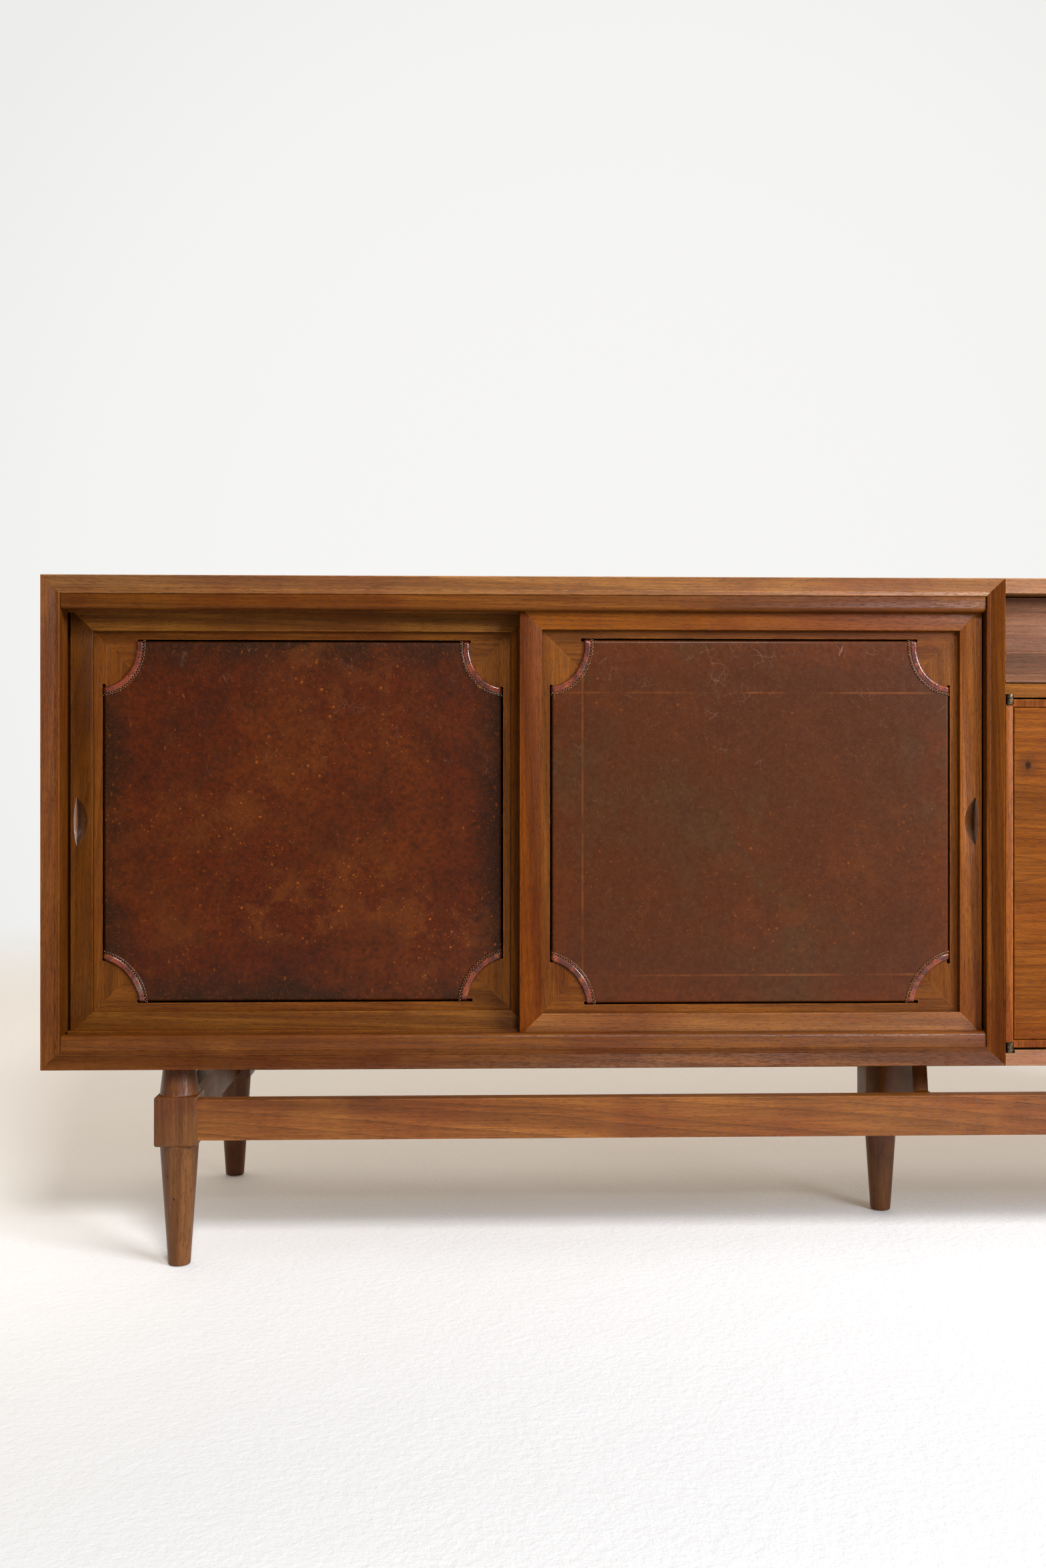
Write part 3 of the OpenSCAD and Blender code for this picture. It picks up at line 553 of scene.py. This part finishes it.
# Each corner of the field bulges into the leather: how far along the leather's top or
# bottom edge, how far along its side, the straight run beside the top or bottom slot, the
# angle the curve keeps to those edges at its ends, and how far the side slot and the top or
# bottom slot run past the leather's bound edge. Lengths are in millimetres, angles in degrees.
CORNERS = {
    ("left", "top", 0): (38.0, 53.4, 9.0, 4.5, 3.6, 0.0),
    ("left", "top", 1): (38.0, 53.4, 9.0, 4.5, 1.0, 2.0),
    ("left", "bottom", 0): (40.5, 49.0, 3.0, 13.0, 2.0, 2.5),
    ("left", "bottom", 1): (40.5, 49.0, 3.0, 13.0, 1.0, 6.5),
    ("right", "top", 0): (38.0, 53.4, 9.0, 4.5, 1.6, 3.9),
    ("right", "top", 1): (38.0, 53.4, 9.0, 4.5, 2.0, 2.0),
    ("right", "bottom", 0): (40.5, 49.0, 3.0, 13.0, 2.0, 3.0),
    ("right", "bottom", 1): (40.5, 49.0, 3.0, 13.0, 5.1, 5.2),
}
# The leather bends down with a radius of LEATHER_ROLL at its edges and runs LEATHER_TUCK
# further into the slots, which reach SLOT_OUT past its edges and SLOT_IN under it.
LEATHER_ROLL = 3.0 * MM
LEATHER_TUCK = 3.6 * MM
LEATHER_T = 1.0 * MM
SLOT_OUT = 2.2 * MM
SLOT_IN = 1.25 * MM
# The width of the field's four mitred strips
STRIP = 75 * MM


class Corner:
    """The wood's curved edge in one corner of a door's leather, as points with the way into
    the leather at each. a is measured from the leather's side, b from its top or bottom."""

    def __init__(self, door, row, side, width, total, straight, slant, side_past, end_past):
        self.door, self.row, self.side = door, row, side
        self.side_past, self.end_past = side_past * MM, end_past * MM
        self.width, self.total = width * MM, total * MM
        low, high = math.radians(slant), math.radians(90 - slant)
        full = math.cos(low) - math.sin(low)
        run, gap, steps = straight * MM, 1.2 * MM, 55
        line = [(self.width, b) for b in self.spaced(-door.over, run, gap)]
        for i in range(1, steps + 1):
            turn = low + (high - low) * i / steps
            line.append((self.width * (math.cos(turn) - math.sin(low)) / full,
                         run + (self.total - run) * (math.sin(turn) - math.sin(low)) / full))
        fall = (self.total - run) * math.sin(low) / (self.width * math.cos(low))
        line += [(-a, self.total + a * fall) for a in self.spaced(0, door.over, gap)[1:]]
        self.line = line
        self.into = []
        for i in range(len(line)):
            (a0, b0), (a1, b1) = line[max(i - 1, 0)], line[min(i + 1, len(line) - 1)]
            length = math.hypot(a1 - a0, b1 - b0)
            self.into.append(((b1 - b0) / length, (a0 - a1) / length))

    @staticmethod
    def spaced(start, end, gap):
        """Even steps from start to end, none longer than gap."""
        count = max(1, math.ceil((end - start) / gap))
        return [start + (end - start) * i / count for i in range(count + 1)]

    def flat(self, a, b):
        """u and v on the leather for a point given from this corner."""
        u = a if self.side == 0 else self.door.width - a
        v = b if self.row == "bottom" else self.door.height - b
        return u, v

    def from_corner(self, u, v):
        """a and b for a point given as u and v on the leather."""
        return (u if self.side == 0 else self.door.width - u,
                v if self.row == "bottom" else self.door.height - v)

    def moved(self, inward):
        """The wood's edge, moved into the leather."""
        return [self.flat(a + inward * n[0], b + inward * n[1])
                for (a, b), n in zip(self.line, self.into)]

    def length(self):
        return sum(math.dist(p, q) for p, q in zip(self.line, self.line[1:]))

    def at(self, share, inward):
        """A point the given share of the way along the edge, moved into the leather."""
        place = share * (len(self.line) - 1)
        i = min(int(place), len(self.line) - 2)
        t = place - i
        a, b = (p + (q - p) * t for p, q in zip(self.line[i], self.line[i + 1]))
        return self.flat(a + inward * self.into[i][0], b + inward * self.into[i][1])

    def gap(self, u, v):
        """How far a point is from the wood's edge, and negative on the wood. Past the
        corner's reach the exact distance doesn't matter."""
        a, b = self.from_corner(u, v)
        if a > 70 * MM or b > 80 * MM:
            return 80 * MM
        near, i = min((math.dist((a, b), p), i) for i, p in enumerate(self.line))
        away = (a - self.line[i][0]) * self.into[i][0] + (b - self.line[i][1]) * self.into[i][1]
        return near if away > 0 else -near


class Door:
    """A sliding door's measures, from its CAD boxes. u and v run over the leather from its
    lower left corner, as far as its edges and on down into the slots round it."""

    def __init__(self, side):
        self.side = side
        self.body = f"sliding_door_{side}"
        self.panel_low, self.panel_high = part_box(f"sliding_{side}_panel")
        self.low, self.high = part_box(f"sliding_{side}_leather")
        self.width = self.high.x - self.low.x
        self.height = self.high.z - self.low.z
        self.thick = self.panel_low.y - self.low.y
        self.over = LEATHER_ROLL * (math.pi / 2 - 1) + LEATHER_TUCK
        self.corners = [Corner(self, row, end, *sizes)
                        for (name, row, end), sizes in CORNERS.items() if name == side]

    def roll(self, run, size, rise):
        """Where a point of the leather lies across an edge: its distance in, and how far it
        has dropped."""
        mirrored = run > size / 2
        run = size - run if mirrored else run
        if run >= LEATHER_ROLL:
            place, drop = run, 0.0
        else:
            angle = min((LEATHER_ROLL - run) / LEATHER_ROLL, math.pi / 2)
            place = LEATHER_ROLL - (LEATHER_ROLL + rise) * math.sin(angle)
            drop = (LEATHER_ROLL + rise) * (1 - math.cos(angle))
            drop += max(LEATHER_ROLL - LEATHER_ROLL * angle - run, 0.0)
        return (size - place if mirrored else place), drop

    def on_leather(self, u, v, rise=0.0):
        """The point in space rise above the leather's face, as it bends over its edges."""
        across, side_drop = self.roll(u, self.width, rise)
        up, end_drop = self.roll(v, self.height, rise)
        h = self.thick + rise - max(side_drop, end_drop)
        return (self.low.x + across, self.panel_low.y - h, self.low.z + up)

    def wood_gap(self, u, v):
        """How far a point is from the nearest corner's wood, and negative on the wood."""
        return min(corner.gap(u, v) for corner in self.corners)

    def corner(self, row, end):
        return next(c for c in self.corners if (c.row, c.side) == (row, end))


def keyhole(start, end, low, high, past_start, past_end, upright):
    """A slot's outline, which ends in round holes a little wider than the slot; low and
    high are its edges across."""
    half, middle = (high - low) / 2, (high + low) / 2
    radius = half + 0.35 * MM
    lean = math.asin(half / radius)
    start, end = start - past_start, end + past_end
    points = []
    for centre, facing in ((end - radius, 0.0), (start + radius, math.pi)):
        for i in range(9):
            turn = facing - (math.pi - lean) + 2 * (math.pi - lean) * i / 8
            points.append((centre + radius * math.cos(turn), middle + radius * math.sin(turn)))
    return [(b, a) if upright else (a, b) for a, b in points]


def door_slots(door):
    """The four slots round the leather, as loops over the field."""
    slots = {}
    for end, edges in ((0, (-SLOT_OUT, SLOT_IN)),
                       (1, (door.width - SLOT_IN, door.width + SLOT_OUT))):
        low, high = door.corner("bottom", end), door.corner("top", end)
        slots["left" if end == 0 else "right"] = keyhole(
            low.total, door.height - high.total, *edges, low.side_past, high.side_past, True)
    for row, edges in (("bottom", (-SLOT_OUT, SLOT_IN)),
                       ("top", (door.height - SLOT_IN, door.height + SLOT_OUT))):
        left, right = door.corner(row, 0), door.corner(row, 1)
        slots[row] = keyhole(left.width, door.width - right.width, *edges,
                             left.end_past, right.end_past, False)
    return slots


def door_field(door, upright, level):
    """The field behind the leather: four mitred strips with the slots, and a board inside."""
    edge = (door.low.x - door.panel_low.x, door.low.z - door.panel_low.z)
    u0, u1 = -edge[0], door.panel_high.x - door.low.x
    v0, v1 = -edge[1], door.panel_high.z - door.low.z
    gap = 0.025 * MM
    slots = door_slots(door)
    strips = {
        "left": [(u0, v0 + gap), (u0 + STRIP, v0 + STRIP + gap),
                 (u0 + STRIP, v1 - STRIP - gap), (u0, v1 - gap)],
        "right": [(u1, v1 - gap), (u1 - STRIP, v1 - STRIP - gap),
                  (u1 - STRIP, v0 + STRIP + gap), (u1, v0 + gap)],
        "bottom": [(u0 + gap, v0), (u1 - gap, v0), (u1 - STRIP - gap, v0 + STRIP),
                   (u0 + STRIP + gap, v0 + STRIP)],
        "top": [(u1 - gap, v1), (u0 + gap, v1), (u0 + STRIP + gap, v1 - STRIP),
                (u1 - STRIP - gap, v1 - STRIP)],
    }
    middle = [(u0 + STRIP, v0 + STRIP), (u1 - STRIP, v0 + STRIP),
              (u1 - STRIP, v1 - STRIP), (u0 + STRIP, v1 - STRIP)]

    def in_space(loop):
        return [(door.low.x + u, door.low.z + v) for u, v in loop]

    parts, grains = [], []
    for name, outline in [*strips.items(), ("middle", middle)]:
        holes = [in_space(slots[name])] if name in slots else []
        parts.append(slab(in_space(outline), holes, door.panel_low.y, door.panel_high.y))
        grains.append(0 if name in ("left", "right") else 1)
    made = new_object(f"{door.side}_door_field", *add_up(parts), upright, level)
    face = 0
    for (_, faces), grain in zip(parts, grains):
        for _ in faces:
            made.data.polygons[face].material_index = grain
            face += 1
    arris(made, 0.25 * MM)
    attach(made, door.body)
    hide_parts(f"sliding_{door.side}_panel")


def rows_across(size, over, gap):
    """Grid lines over the leather, close together where it bends."""
    bend = [-over + 0.02 * MM, -over * 0.65, -LEATHER_ROLL * 0.57, -0.8 * MM, 0.0, 0.8 * MM,
            1.6 * MM, 2.3 * MM, 3.0 * MM, 4.2 * MM, 6.0 * MM]
    flat_run = size - 2 * bend[-1]
    count = round(flat_run / gap)
    middle = [bend[-1] + flat_run * i / count for i in range(1, count)]
    return bend + middle + [size - b for b in reversed(bend)]


def leather_rise(door, u, v):
    """How far the leather stands out: it swells a little between its edges and wrinkles."""
    edge = min(u, door.width - u, v, door.height - v)
    if edge < LEATHER_ROLL:
        return 0.0
    free = min(edge - LEATHER_ROLL, door.wood_gap(u, v) - 11 * MM)
    if free <= 0:
        return 0.0
    swell = 0.7 * MM * min(free / (55 * MM), 1.0) ** 0.6
    place = Vector((u, v, 0.31 if door.side == "left" else 0.87))
    wrinkle = noise.fractal(place * 38, 0.7, 2.1, 4) * 0.22 * MM
    crease = abs(noise.noise(Vector((u * 14, v * 55, place.z)))) * 0.25 * MM
    near_top = max(0.0, 1 - (door.height - v) / (60 * MM))
    grip = min(free / (9 * MM), 1.0)
    return swell + grip * (wrinkle - crease * near_top)


def leather(door, made_of):
    """The leather, drawn over the field and down into the slots."""
    us = rows_across(door.width, door.over, 3.0 * MM)
    vs = rows_across(door.height, door.over, 3.0 * MM)
    cut = 1.2 * MM
    curves = {(c.row, c.side): c.moved(cut) for c in door.corners}

    def reach(values, start, end):
        return [x for x in values if start + 0.4 * MM < x < end - 0.4 * MM]

    far_u, far_v = door.width + door.over, door.height + door.over
    left_low, right_low = curves["bottom", 0], curves["bottom", 1]
    right_high, left_high = curves["top", 1], curves["top", 0]
    outline = []
    outline += [(u, -door.over) for u in reach(us, left_low[0][0], right_low[0][0])]
    outline += right_low
    outline += [(far_u, v) for v in reach(vs, right_low[-1][1], right_high[-1][1])]
    outline += list(reversed(right_high))
    outline += [(u, far_v) for u in reversed(reach(us, left_high[0][0], right_high[0][0]))]
    outline += left_high
    outline += [(-door.over, v) for v in reversed(reach(vs, left_low[-1][1], left_high[-1][1]))]
    outline += list(reversed(left_low))
    grid = [(u, v) for u in us[1:-1] for v in vs[1:-1] if door.wood_gap(u, v) > cut + 0.5 * MM]
    flat, faces = triangles(outline, (), grid)
    front = [door.on_leather(u, v, leather_rise(door, u, v)) for u, v in flat]
    back = [door.on_leather(u, v, leather_rise(door, u, v) - LEATHER_T) for u, v in flat]
    n = len(flat)
    shape = faces + [tuple(i + n for i in reversed(f)) for f in faces] + walls([outline], n)
    made = smooth(new_object(f"{door.side}_leather", front + back, shape, made_of))
    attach(made, door.body)
    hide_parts(f"sliding_{door.side}_leather")
    return made


# Sections across a bound edge: the distance into the leather and the height over its face,
# in millimetres.
BINDING = ((0.0, -2.95), (-0.1, -2.2), (0.05, -0.9), (0.5, 0.05), (1.1, 0.5), (1.9, 0.8),
           (2.9, 0.78), (3.6, 0.62), (4.6, 0.74), (5.8, 0.72), (6.7, 0.5), (7.25, 0.05),
           (7.25, 0.02), (1.15, 0.02), (1.15, -2.95))
RIDGE = ((7.35, 0.02), (7.5, 0.3), (8.1, 0.75), (8.9, 0.95), (9.8, 0.85), (10.6, 0.4),
         (11.0, 0.02))


def along_corner(door, corner, section, dent):
    """A section swept round a corner, with small dents along it."""
    rows, count = [], round(corner.length() / (0.9 * MM))
    for i in range(count + 1):
        share, row = i / count, []
        for inward, rise in section:
            u, v = corner.at(share, inward * MM)
            rough = noise.noise(Vector((u * 420, v * 420, inward))) * dent
            row.append(door.on_leather(u, v, rise * MM + (rough if rise > 0.3 else 0.0)))
        rows.append(row)
    return sweep(rows)


def bead(centre, radius, sides=6):
    """A small round stitch."""
    x, y, z = centre
    points = [(x, y - radius, z)]
    for turn in (45, 90, 135):
        ring, fall = radius * math.sin(math.radians(turn)), radius * math.cos(math.radians(turn))
        points += [(x + ring * math.cos(math.tau * i / sides), y - fall,
                    z + ring * math.sin(math.tau * i / sides)) for i in range(sides)]
    points.append((x, y + radius, z))
    faces = [(0, 1 + i, 1 + (i + 1) % sides) for i in range(sides)]
    for ring in range(2):
        a = 1 + ring * sides
        faces += [(a + i, a + sides + i, a + sides + (i + 1) % sides, a + (i + 1) % sides)
                  for i in range(sides)]
    last = len(points) - 1
    faces += [(last, last - sides + (i + 1) % sides, last - sides + i) for i in range(sides)]
    return points, faces


def stitches(door, corner):
    """Two rows of stitches on the ridge, the inner row half a stitch behind."""
    parts, count = [], round(corner.length() / (3.1 * MM))
    for inward, shift in ((8.0 * MM, 0.0), (9.9 * MM, 0.5)):
        for i in range(1, count):
            u, v = corner.at((i + shift) / (count + 1), inward + random.uniform(-0.12, 0.12) * MM)
            parts.append(bead(door.on_leather(u, v, 0.78 * MM), random.uniform(0.42, 0.6) * MM))
    return add_up(parts)


def binding(door, band, ridge, thread):
    """The bound edges in the four corners, with the stitched ridge beside each."""
    pieces = {"binding": (band, [along_corner(door, c, BINDING, 0.16 * MM) for c in door.corners]),
              "ridge": (ridge, [along_corner(door, c, RIDGE, 0.12 * MM) for c in door.corners]),
              "stitches": (thread, [stitches(door, c) for c in door.corners])}
    made = []
    for name, (made_of, parts) in pieces.items():
        piece = smooth(new_object(f"{door.side}_{name}", *add_up(parts), made_of))
        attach(piece, door.body)
        made.append(piece)
    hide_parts(f"sliding_{door.side}_bindings")
    return made


# ---- Leather ----

def old_leather(side, deep, warm, worn, spots, pale_crease_share, lines=()):
    """Old waxed leather: deep at its borders, warmer in the middle, creased and flecked, with its
    creases painted pale as painted highlights. spots is how strongly the flecks show, the next number
    how strongly the pale creases show, and lines are faint pressed lines, as (axis, distance from the
    leather's low edge)."""
    made, g, shader = material(f"leather_{side}", Coat_Weight=0.15, Coat_Roughness=0.2)
    door_low, door_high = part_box(f"sliding_{side}_leather")
    x, _, z = g.split(g.place())
    edge = None
    for value, near, far in ((x, door_low.x, door_high.x), (z, door_low.z, door_high.z)):
        for away in (g.math("SUBTRACT", value, near), g.math("SUBTRACT", far, value)):
            edge = away if edge is None else g.math("MINIMUM", edge, away)
    cloud = g.noise(g.place(), 7.0, 6.0, 0.66, 0.5)
    fine = g.noise(g.place(), 24.0, 10.0, 0.72, 0.3)
    border = g.step(g.math("ADD", edge, g.spread(cloud, -0.03, 0.03)), -0.002, 0.045)
    colour = g.mix(border, deep, warm)
    colour = g.mix(g.spread(g.step(cloud, 0.45, 0.68), 0.0, 0.7), colour, worn)
    colour = g.mix(g.spread(g.step(fine, 0.35, 0.72), 0.0, 0.6), colour,
                   tuple(0.5 * c for c in deep))
    dust = g.noise(g.place(), 420.0, 3.0, 0.7)
    colour = g.mix(g.spread(g.step(dust, 0.50, 0.72), 0.0, 0.5), colour,
                   tuple(2.2 * c for c in worn))
    grit = g.noise(g.place(), 210.0, 5.0, 0.75)
    colour = g.mix(g.spread(g.step(grit, 0.44, 0.62), 0.0, 0.5), colour,
                   tuple(0.42 * c for c in deep))
    bent = g.vector("ADD", g.place(), g.vector(
        "MULTIPLY", g.noise_vector(g.place(), 26.0, 3.0), (0.030, 0.0, 0.030)))
    bent = g.vector("MULTIPLY", bent, (1.5, 1.0, 0.8))
    bloom = g.noise(g.vector("ADD", g.place(), (4.0, 0.0, 2.0)), 6.0, 5.0, 0.62)
    size = g.spread(g.noise(g.place(), 75.0, 3.0), -0.08, 0.26)
    flecks = None
    for scale in (85.0, 190.0, 330.0):
        spot = g.step(g.math("SUBTRACT", g.cells(g.place(), scale), size), 0.05, -0.03)
        flecks = spot if flecks is None else g.math("MAXIMUM", flecks, spot)
    bloom = g.math("ADD", bloom, g.math("MULTIPLY", g.step(edge, 0.02, 0.14), 0.10))
    flecks = g.math("MULTIPLY", flecks, g.step(bloom, 0.46, 0.66))
    rare = g.step(g.math("SUBTRACT", g.cells(bent, 62.0), g.math("MULTIPLY", size, 0.6)),
                  0.07, -0.04)
    flecks = g.math("MAXIMUM", flecks, g.math("MULTIPLY", rare, 0.55))
    colour = g.mix(g.math("MULTIPLY", flecks, spots), colour, (0.215, 0.052, 0.004))
    haze = g.math("MULTIPLY", g.step(bloom, 0.48, 0.68), g.step(fine, 0.46, 0.60))
    colour = g.mix(g.math("MULTIPLY", haze, 0.4 * spots), colour, (0.15, 0.034, 0.003))
    # Painted highlight along the creases: thin crease lines painted pale, more of them near the top
    # edge, for the glints they catch; the same lines also sink the bump.
    crease_and_glint = None
    for scale, width in ((31.0, 0.011), (60.0, 0.017)):
        line = g.step(g.cells(bent, scale, "DISTANCE_TO_EDGE"), width, 0.2 * width)
        crease_and_glint = line if crease_and_glint is None else g.math("MAXIMUM", crease_and_glint, line)
    high = g.spread(g.math("SUBTRACT", z, door_low.z), -0.16, 0.16)
    broken = g.math("ADD", g.noise(g.place(), 30.0, 4.0, 0.65), high)
    crease_and_glint = g.math("MULTIPLY", crease_and_glint, g.step(broken, 0.50, 0.66))
    colour = g.mix(g.math("MULTIPLY", crease_and_glint, pale_crease_share), colour, (0.24, 0.16, 0.115))
    pressed = None
    for axis, place in lines:
        value, low_edge = (x, door_low.x) if axis == "X" else (z, door_low.z)
        away = g.math("ABSOLUTE", g.math("SUBTRACT", value, low_edge + place))
        line = g.step(away, 1.7 * MM, 0.5 * MM)
        pressed = line if pressed is None else g.math("MAXIMUM", pressed, line)
    if pressed is not None:
        patchy = g.step(g.noise(g.place(), 9.0, 5.0, 0.7), 0.42, 0.62)
        faint = g.math("MULTIPLY", pressed, g.spread(patchy, 0.02, 0.34))
        colour = g.mix(faint, colour, (0.20, 0.056, 0.010))
    g.feed(shader.inputs["Base Color"], colour)
    g.feed(shader.inputs["Roughness"], g.spread(fine, 0.34, 0.60))
    shader.inputs["Specular IOR Level"].default_value = 0.06
    cracks = g.math("POWER", g.cells(g.place(), 330.0, "DISTANCE_TO_EDGE"), 0.5)
    pebble = g.noise(g.place(), 520.0, 2.0)
    relief = g.math("ADD", g.math("MULTIPLY", cracks, 0.5), g.math("MULTIPLY", pebble, 0.5))
    relief = g.math("ADD", relief, g.math("MULTIPLY", g.noise(g.place(), 120.0, 3.0), 0.9))
    relief = g.math("SUBTRACT", relief, g.math("MULTIPLY", crease_and_glint, 0.6))
    g.feed(shader.inputs["Normal"], g.bump(relief, 0.22 * MM))
    return made


def band_leather():
    """The glossy dark red band round each corner, with worn patches, and creases darkened with painted
    shade.
    """
    made, g, shader = material("binding_band", Coat_Weight=0.6, Coat_Roughness=0.12)
    patch = g.noise(g.place(), 85.0, 3.0, 0.6)
    colour = g.mix(g.step(patch, 0.42, 0.60), (0.060, 0.007, 0.0020), (0.165, 0.024, 0.0040))
    rust = g.step(g.noise(g.vector("ADD", g.place(), (3.0, 1.0, 0.0)), 60.0, 3.0), 0.60, 0.72)
    colour = g.mix(g.math("MULTIPLY", rust, 0.8), colour, (0.30, 0.085, 0.014))
    worn = g.step(g.noise(g.vector("ADD", g.place(), (7.0, 0.0, 5.0)), 42.0, 3.0), 0.60, 0.70)
    colour = g.mix(g.math("MULTIPLY", worn, 0.8), colour, (0.115, 0.062, 0.038))
    # Painted shade in the creases: their lines are darkened nearly to black, and sunk in the bump.
    crease = g.step(g.cells(g.place(), 300.0, "DISTANCE_TO_EDGE"), 0.10, 0.02)
    colour = g.mix(g.math("MULTIPLY", crease, 0.5), colour, (0.02, 0.006, 0.003))
    g.feed(shader.inputs["Base Color"], colour)
    shader.inputs["Specular IOR Level"].default_value = 0.2
    g.feed(shader.inputs["Roughness"], g.spread(g.noise(g.place(), 150.0, 3.0), 0.22, 0.5))
    height = g.math("SUBTRACT", g.noise(g.place(), 260.0, 3.0), g.math("MULTIPLY", crease, 0.8))
    g.feed(shader.inputs["Normal"], g.bump(height, 0.18 * MM))
    return made


def thread_material():
    """Old linen thread, browned in patches."""
    made, g, shader = material("thread", Roughness=0.75)
    old = g.noise(g.place(), 420.0, 3.0)
    g.feed(shader.inputs["Base Color"], g.mix(g.step(old, 0.35, 0.65), (0.14, 0.075, 0.03),
                                              (0.42, 0.28, 0.15)))
    return made


def build_doors():
    """Both sliding doors' fields, leathers, bindings and stitches."""
    band, thread = band_leather(), thread_material()
    hides = {
        "left": old_leather("left", (0.019, 0.0054, 0.0010), (0.051, 0.0070, 0.0004),
                            (0.080, 0.0145, 0.0006), 0.8, 0.20),
        "right": old_leather("right", (0.068, 0.0135, 0.0012), (0.051, 0.0118, 0.0024),
                             (0.043, 0.0215, 0.0070), 0.4, 0.34,
                             lines=(("Z", 362 * MM), ("Z", 32 * MM), ("X", 35.8 * MM))),
    }
    for side in ("left", "right"):
        door = Door(side)
        field = [walnut(f"sliding_{side}_field_{grain}", grain, BROWN, seed=50 + i, ring=0.006,
                        pith=(-0.7, 0.3)) for i, grain in enumerate(("Z", "X"))]
        door_field(door, *field)
        skin = leather(door, hides[side])
        trim = binding(door, band, hides[side], thread)


# ---- Studio ----

def backdrop(g):
    """What the camera sees past the floor: white, a little darker away from the middle."""
    ahead = g.vector("DOT_PRODUCT", g.node("ShaderNodeTexCoord").outputs["Generated"],
                     (0.09, 0.98, 0.12))
    return g.mix(g.step(ahead, 0.80, 0.99), (0.80, 0.805, 0.79), (0.925, 0.92, 0.905))


def sky():
    """Soft light from all round, stronger from above and from the white wall behind."""
    world = bpy.data.worlds.new("studio")
    bpy.context.scene.world = world
    world.use_nodes = True
    g = Graph(world.node_tree)
    back = world.node_tree.nodes["Background"]
    way = g.node("ShaderNodeTexCoord").outputs["Generated"]
    behind = g.step(g.split(way)[1], -0.15, 0.35)
    light = g.mix(behind, (0.36, 0.34, 0.32), (2.0, 1.72, 1.33))
    light = g.mix(g.step(g.split(way)[2], 0.3, 0.8), light, (0.60, 0.55, 0.51))
    seen = g.node("ShaderNodeLightPath").outputs["Is Camera Ray"]
    g.feed(back.inputs["Color"], g.mix(seen, light, backdrop(g)))


def lamp(name, place, target, size, power, colour):
    """A rectangular soft light that faces a target; power is in watts."""
    data = bpy.data.lights.new(name, "AREA")
    data.shape = "RECTANGLE"
    data.size, data.size_y = size
    data.energy = power
    data.color = colour
    made = bpy.data.objects.new(name, data)
    made.location = place
    made.rotation_euler = (Vector(target) - Vector(place)).to_track_quat("-Z", "Y").to_euler()
    bpy.context.scene.collection.objects.link(made)


def floor():
    """A pale floor, greyer in front where the light is strong, that fades into the white."""
    made, g, shader = material("floor", Roughness=0.75)
    tone = g.noise(g.place(), 3.0, 4.0)
    colour = g.mix(tone, (0.825, 0.82, 0.815), (0.85, 0.845, 0.84))
    front = g.step(g.split(g.place())[1], 0.05, -0.9)
    g.feed(shader.inputs["Base Color"], g.mix(front, colour, (0.57, 0.575, 0.58)))
    grit = g.math("ADD", g.noise(g.place(), 14.0, 3.0), g.noise(g.place(), 110.0, 4.0, 0.7))
    g.feed(shader.inputs["Normal"], g.bump(grit, 1.1 * MM))
    away = g.step(g.vector("LENGTH", g.place()), 2.4, 5.0)
    fade = g.made(g.node("ShaderNodeMixShader"), Fac=away)
    g.feed(fade.inputs[1], shader.outputs[0])
    g.feed(fade.inputs[2], g.node("ShaderNodeBsdfTransparent").outputs[0])
    g.feed(made.node_tree.nodes["Material Output"].inputs["Surface"], fade.outputs[0])
    reach, sides = 5.2, 64
    rim = [(reach * math.cos(math.tau * i / sides), reach * math.sin(math.tau * i / sides), 0.0)
           for i in range(sides)]
    faces = [(0, i + 1, (i + 1) % sides + 1) for i in range(sides)]
    new_object("floor", [(0.0, 0.0, 0.0), *rim], faces, made)


def camera():
    """The photo's view: level, from a little above the case's middle, turned slightly right."""
    scene = bpy.context.scene
    made = bpy.data.objects.new("camera", bpy.data.cameras.new("camera"))
    scene.collection.objects.link(made)
    made.data.sensor_fit = "VERTICAL"
    made.data.sensor_width = made.data.sensor_height = 36
    made.data.lens = 35
    made.location = (cad_low.x + 0.497, cad_low.y - 1.75, 0.5613)
    made.rotation_euler = (math.radians(90), 0, math.radians(-1.73))
    scene.camera = made
    scene.view_settings.view_transform = "Standard"


def studio():
    camera()
    sky()
    floor()
    lamp("key", (2.2, -2.55, 1.6), (0, -0.25, 0.3), (1.7, 0.8), 185, (0.94, 1.0, 1.07))
    lamp("front", (0.5, -4.95, 4.1), (0, -0.25, 0.2), (1.1, 1.0), 258, (1.0, 1.0, 1.0))


paint_case()
paint_base()
paint_fronts()
paint_metal()
build_doors()
studio()
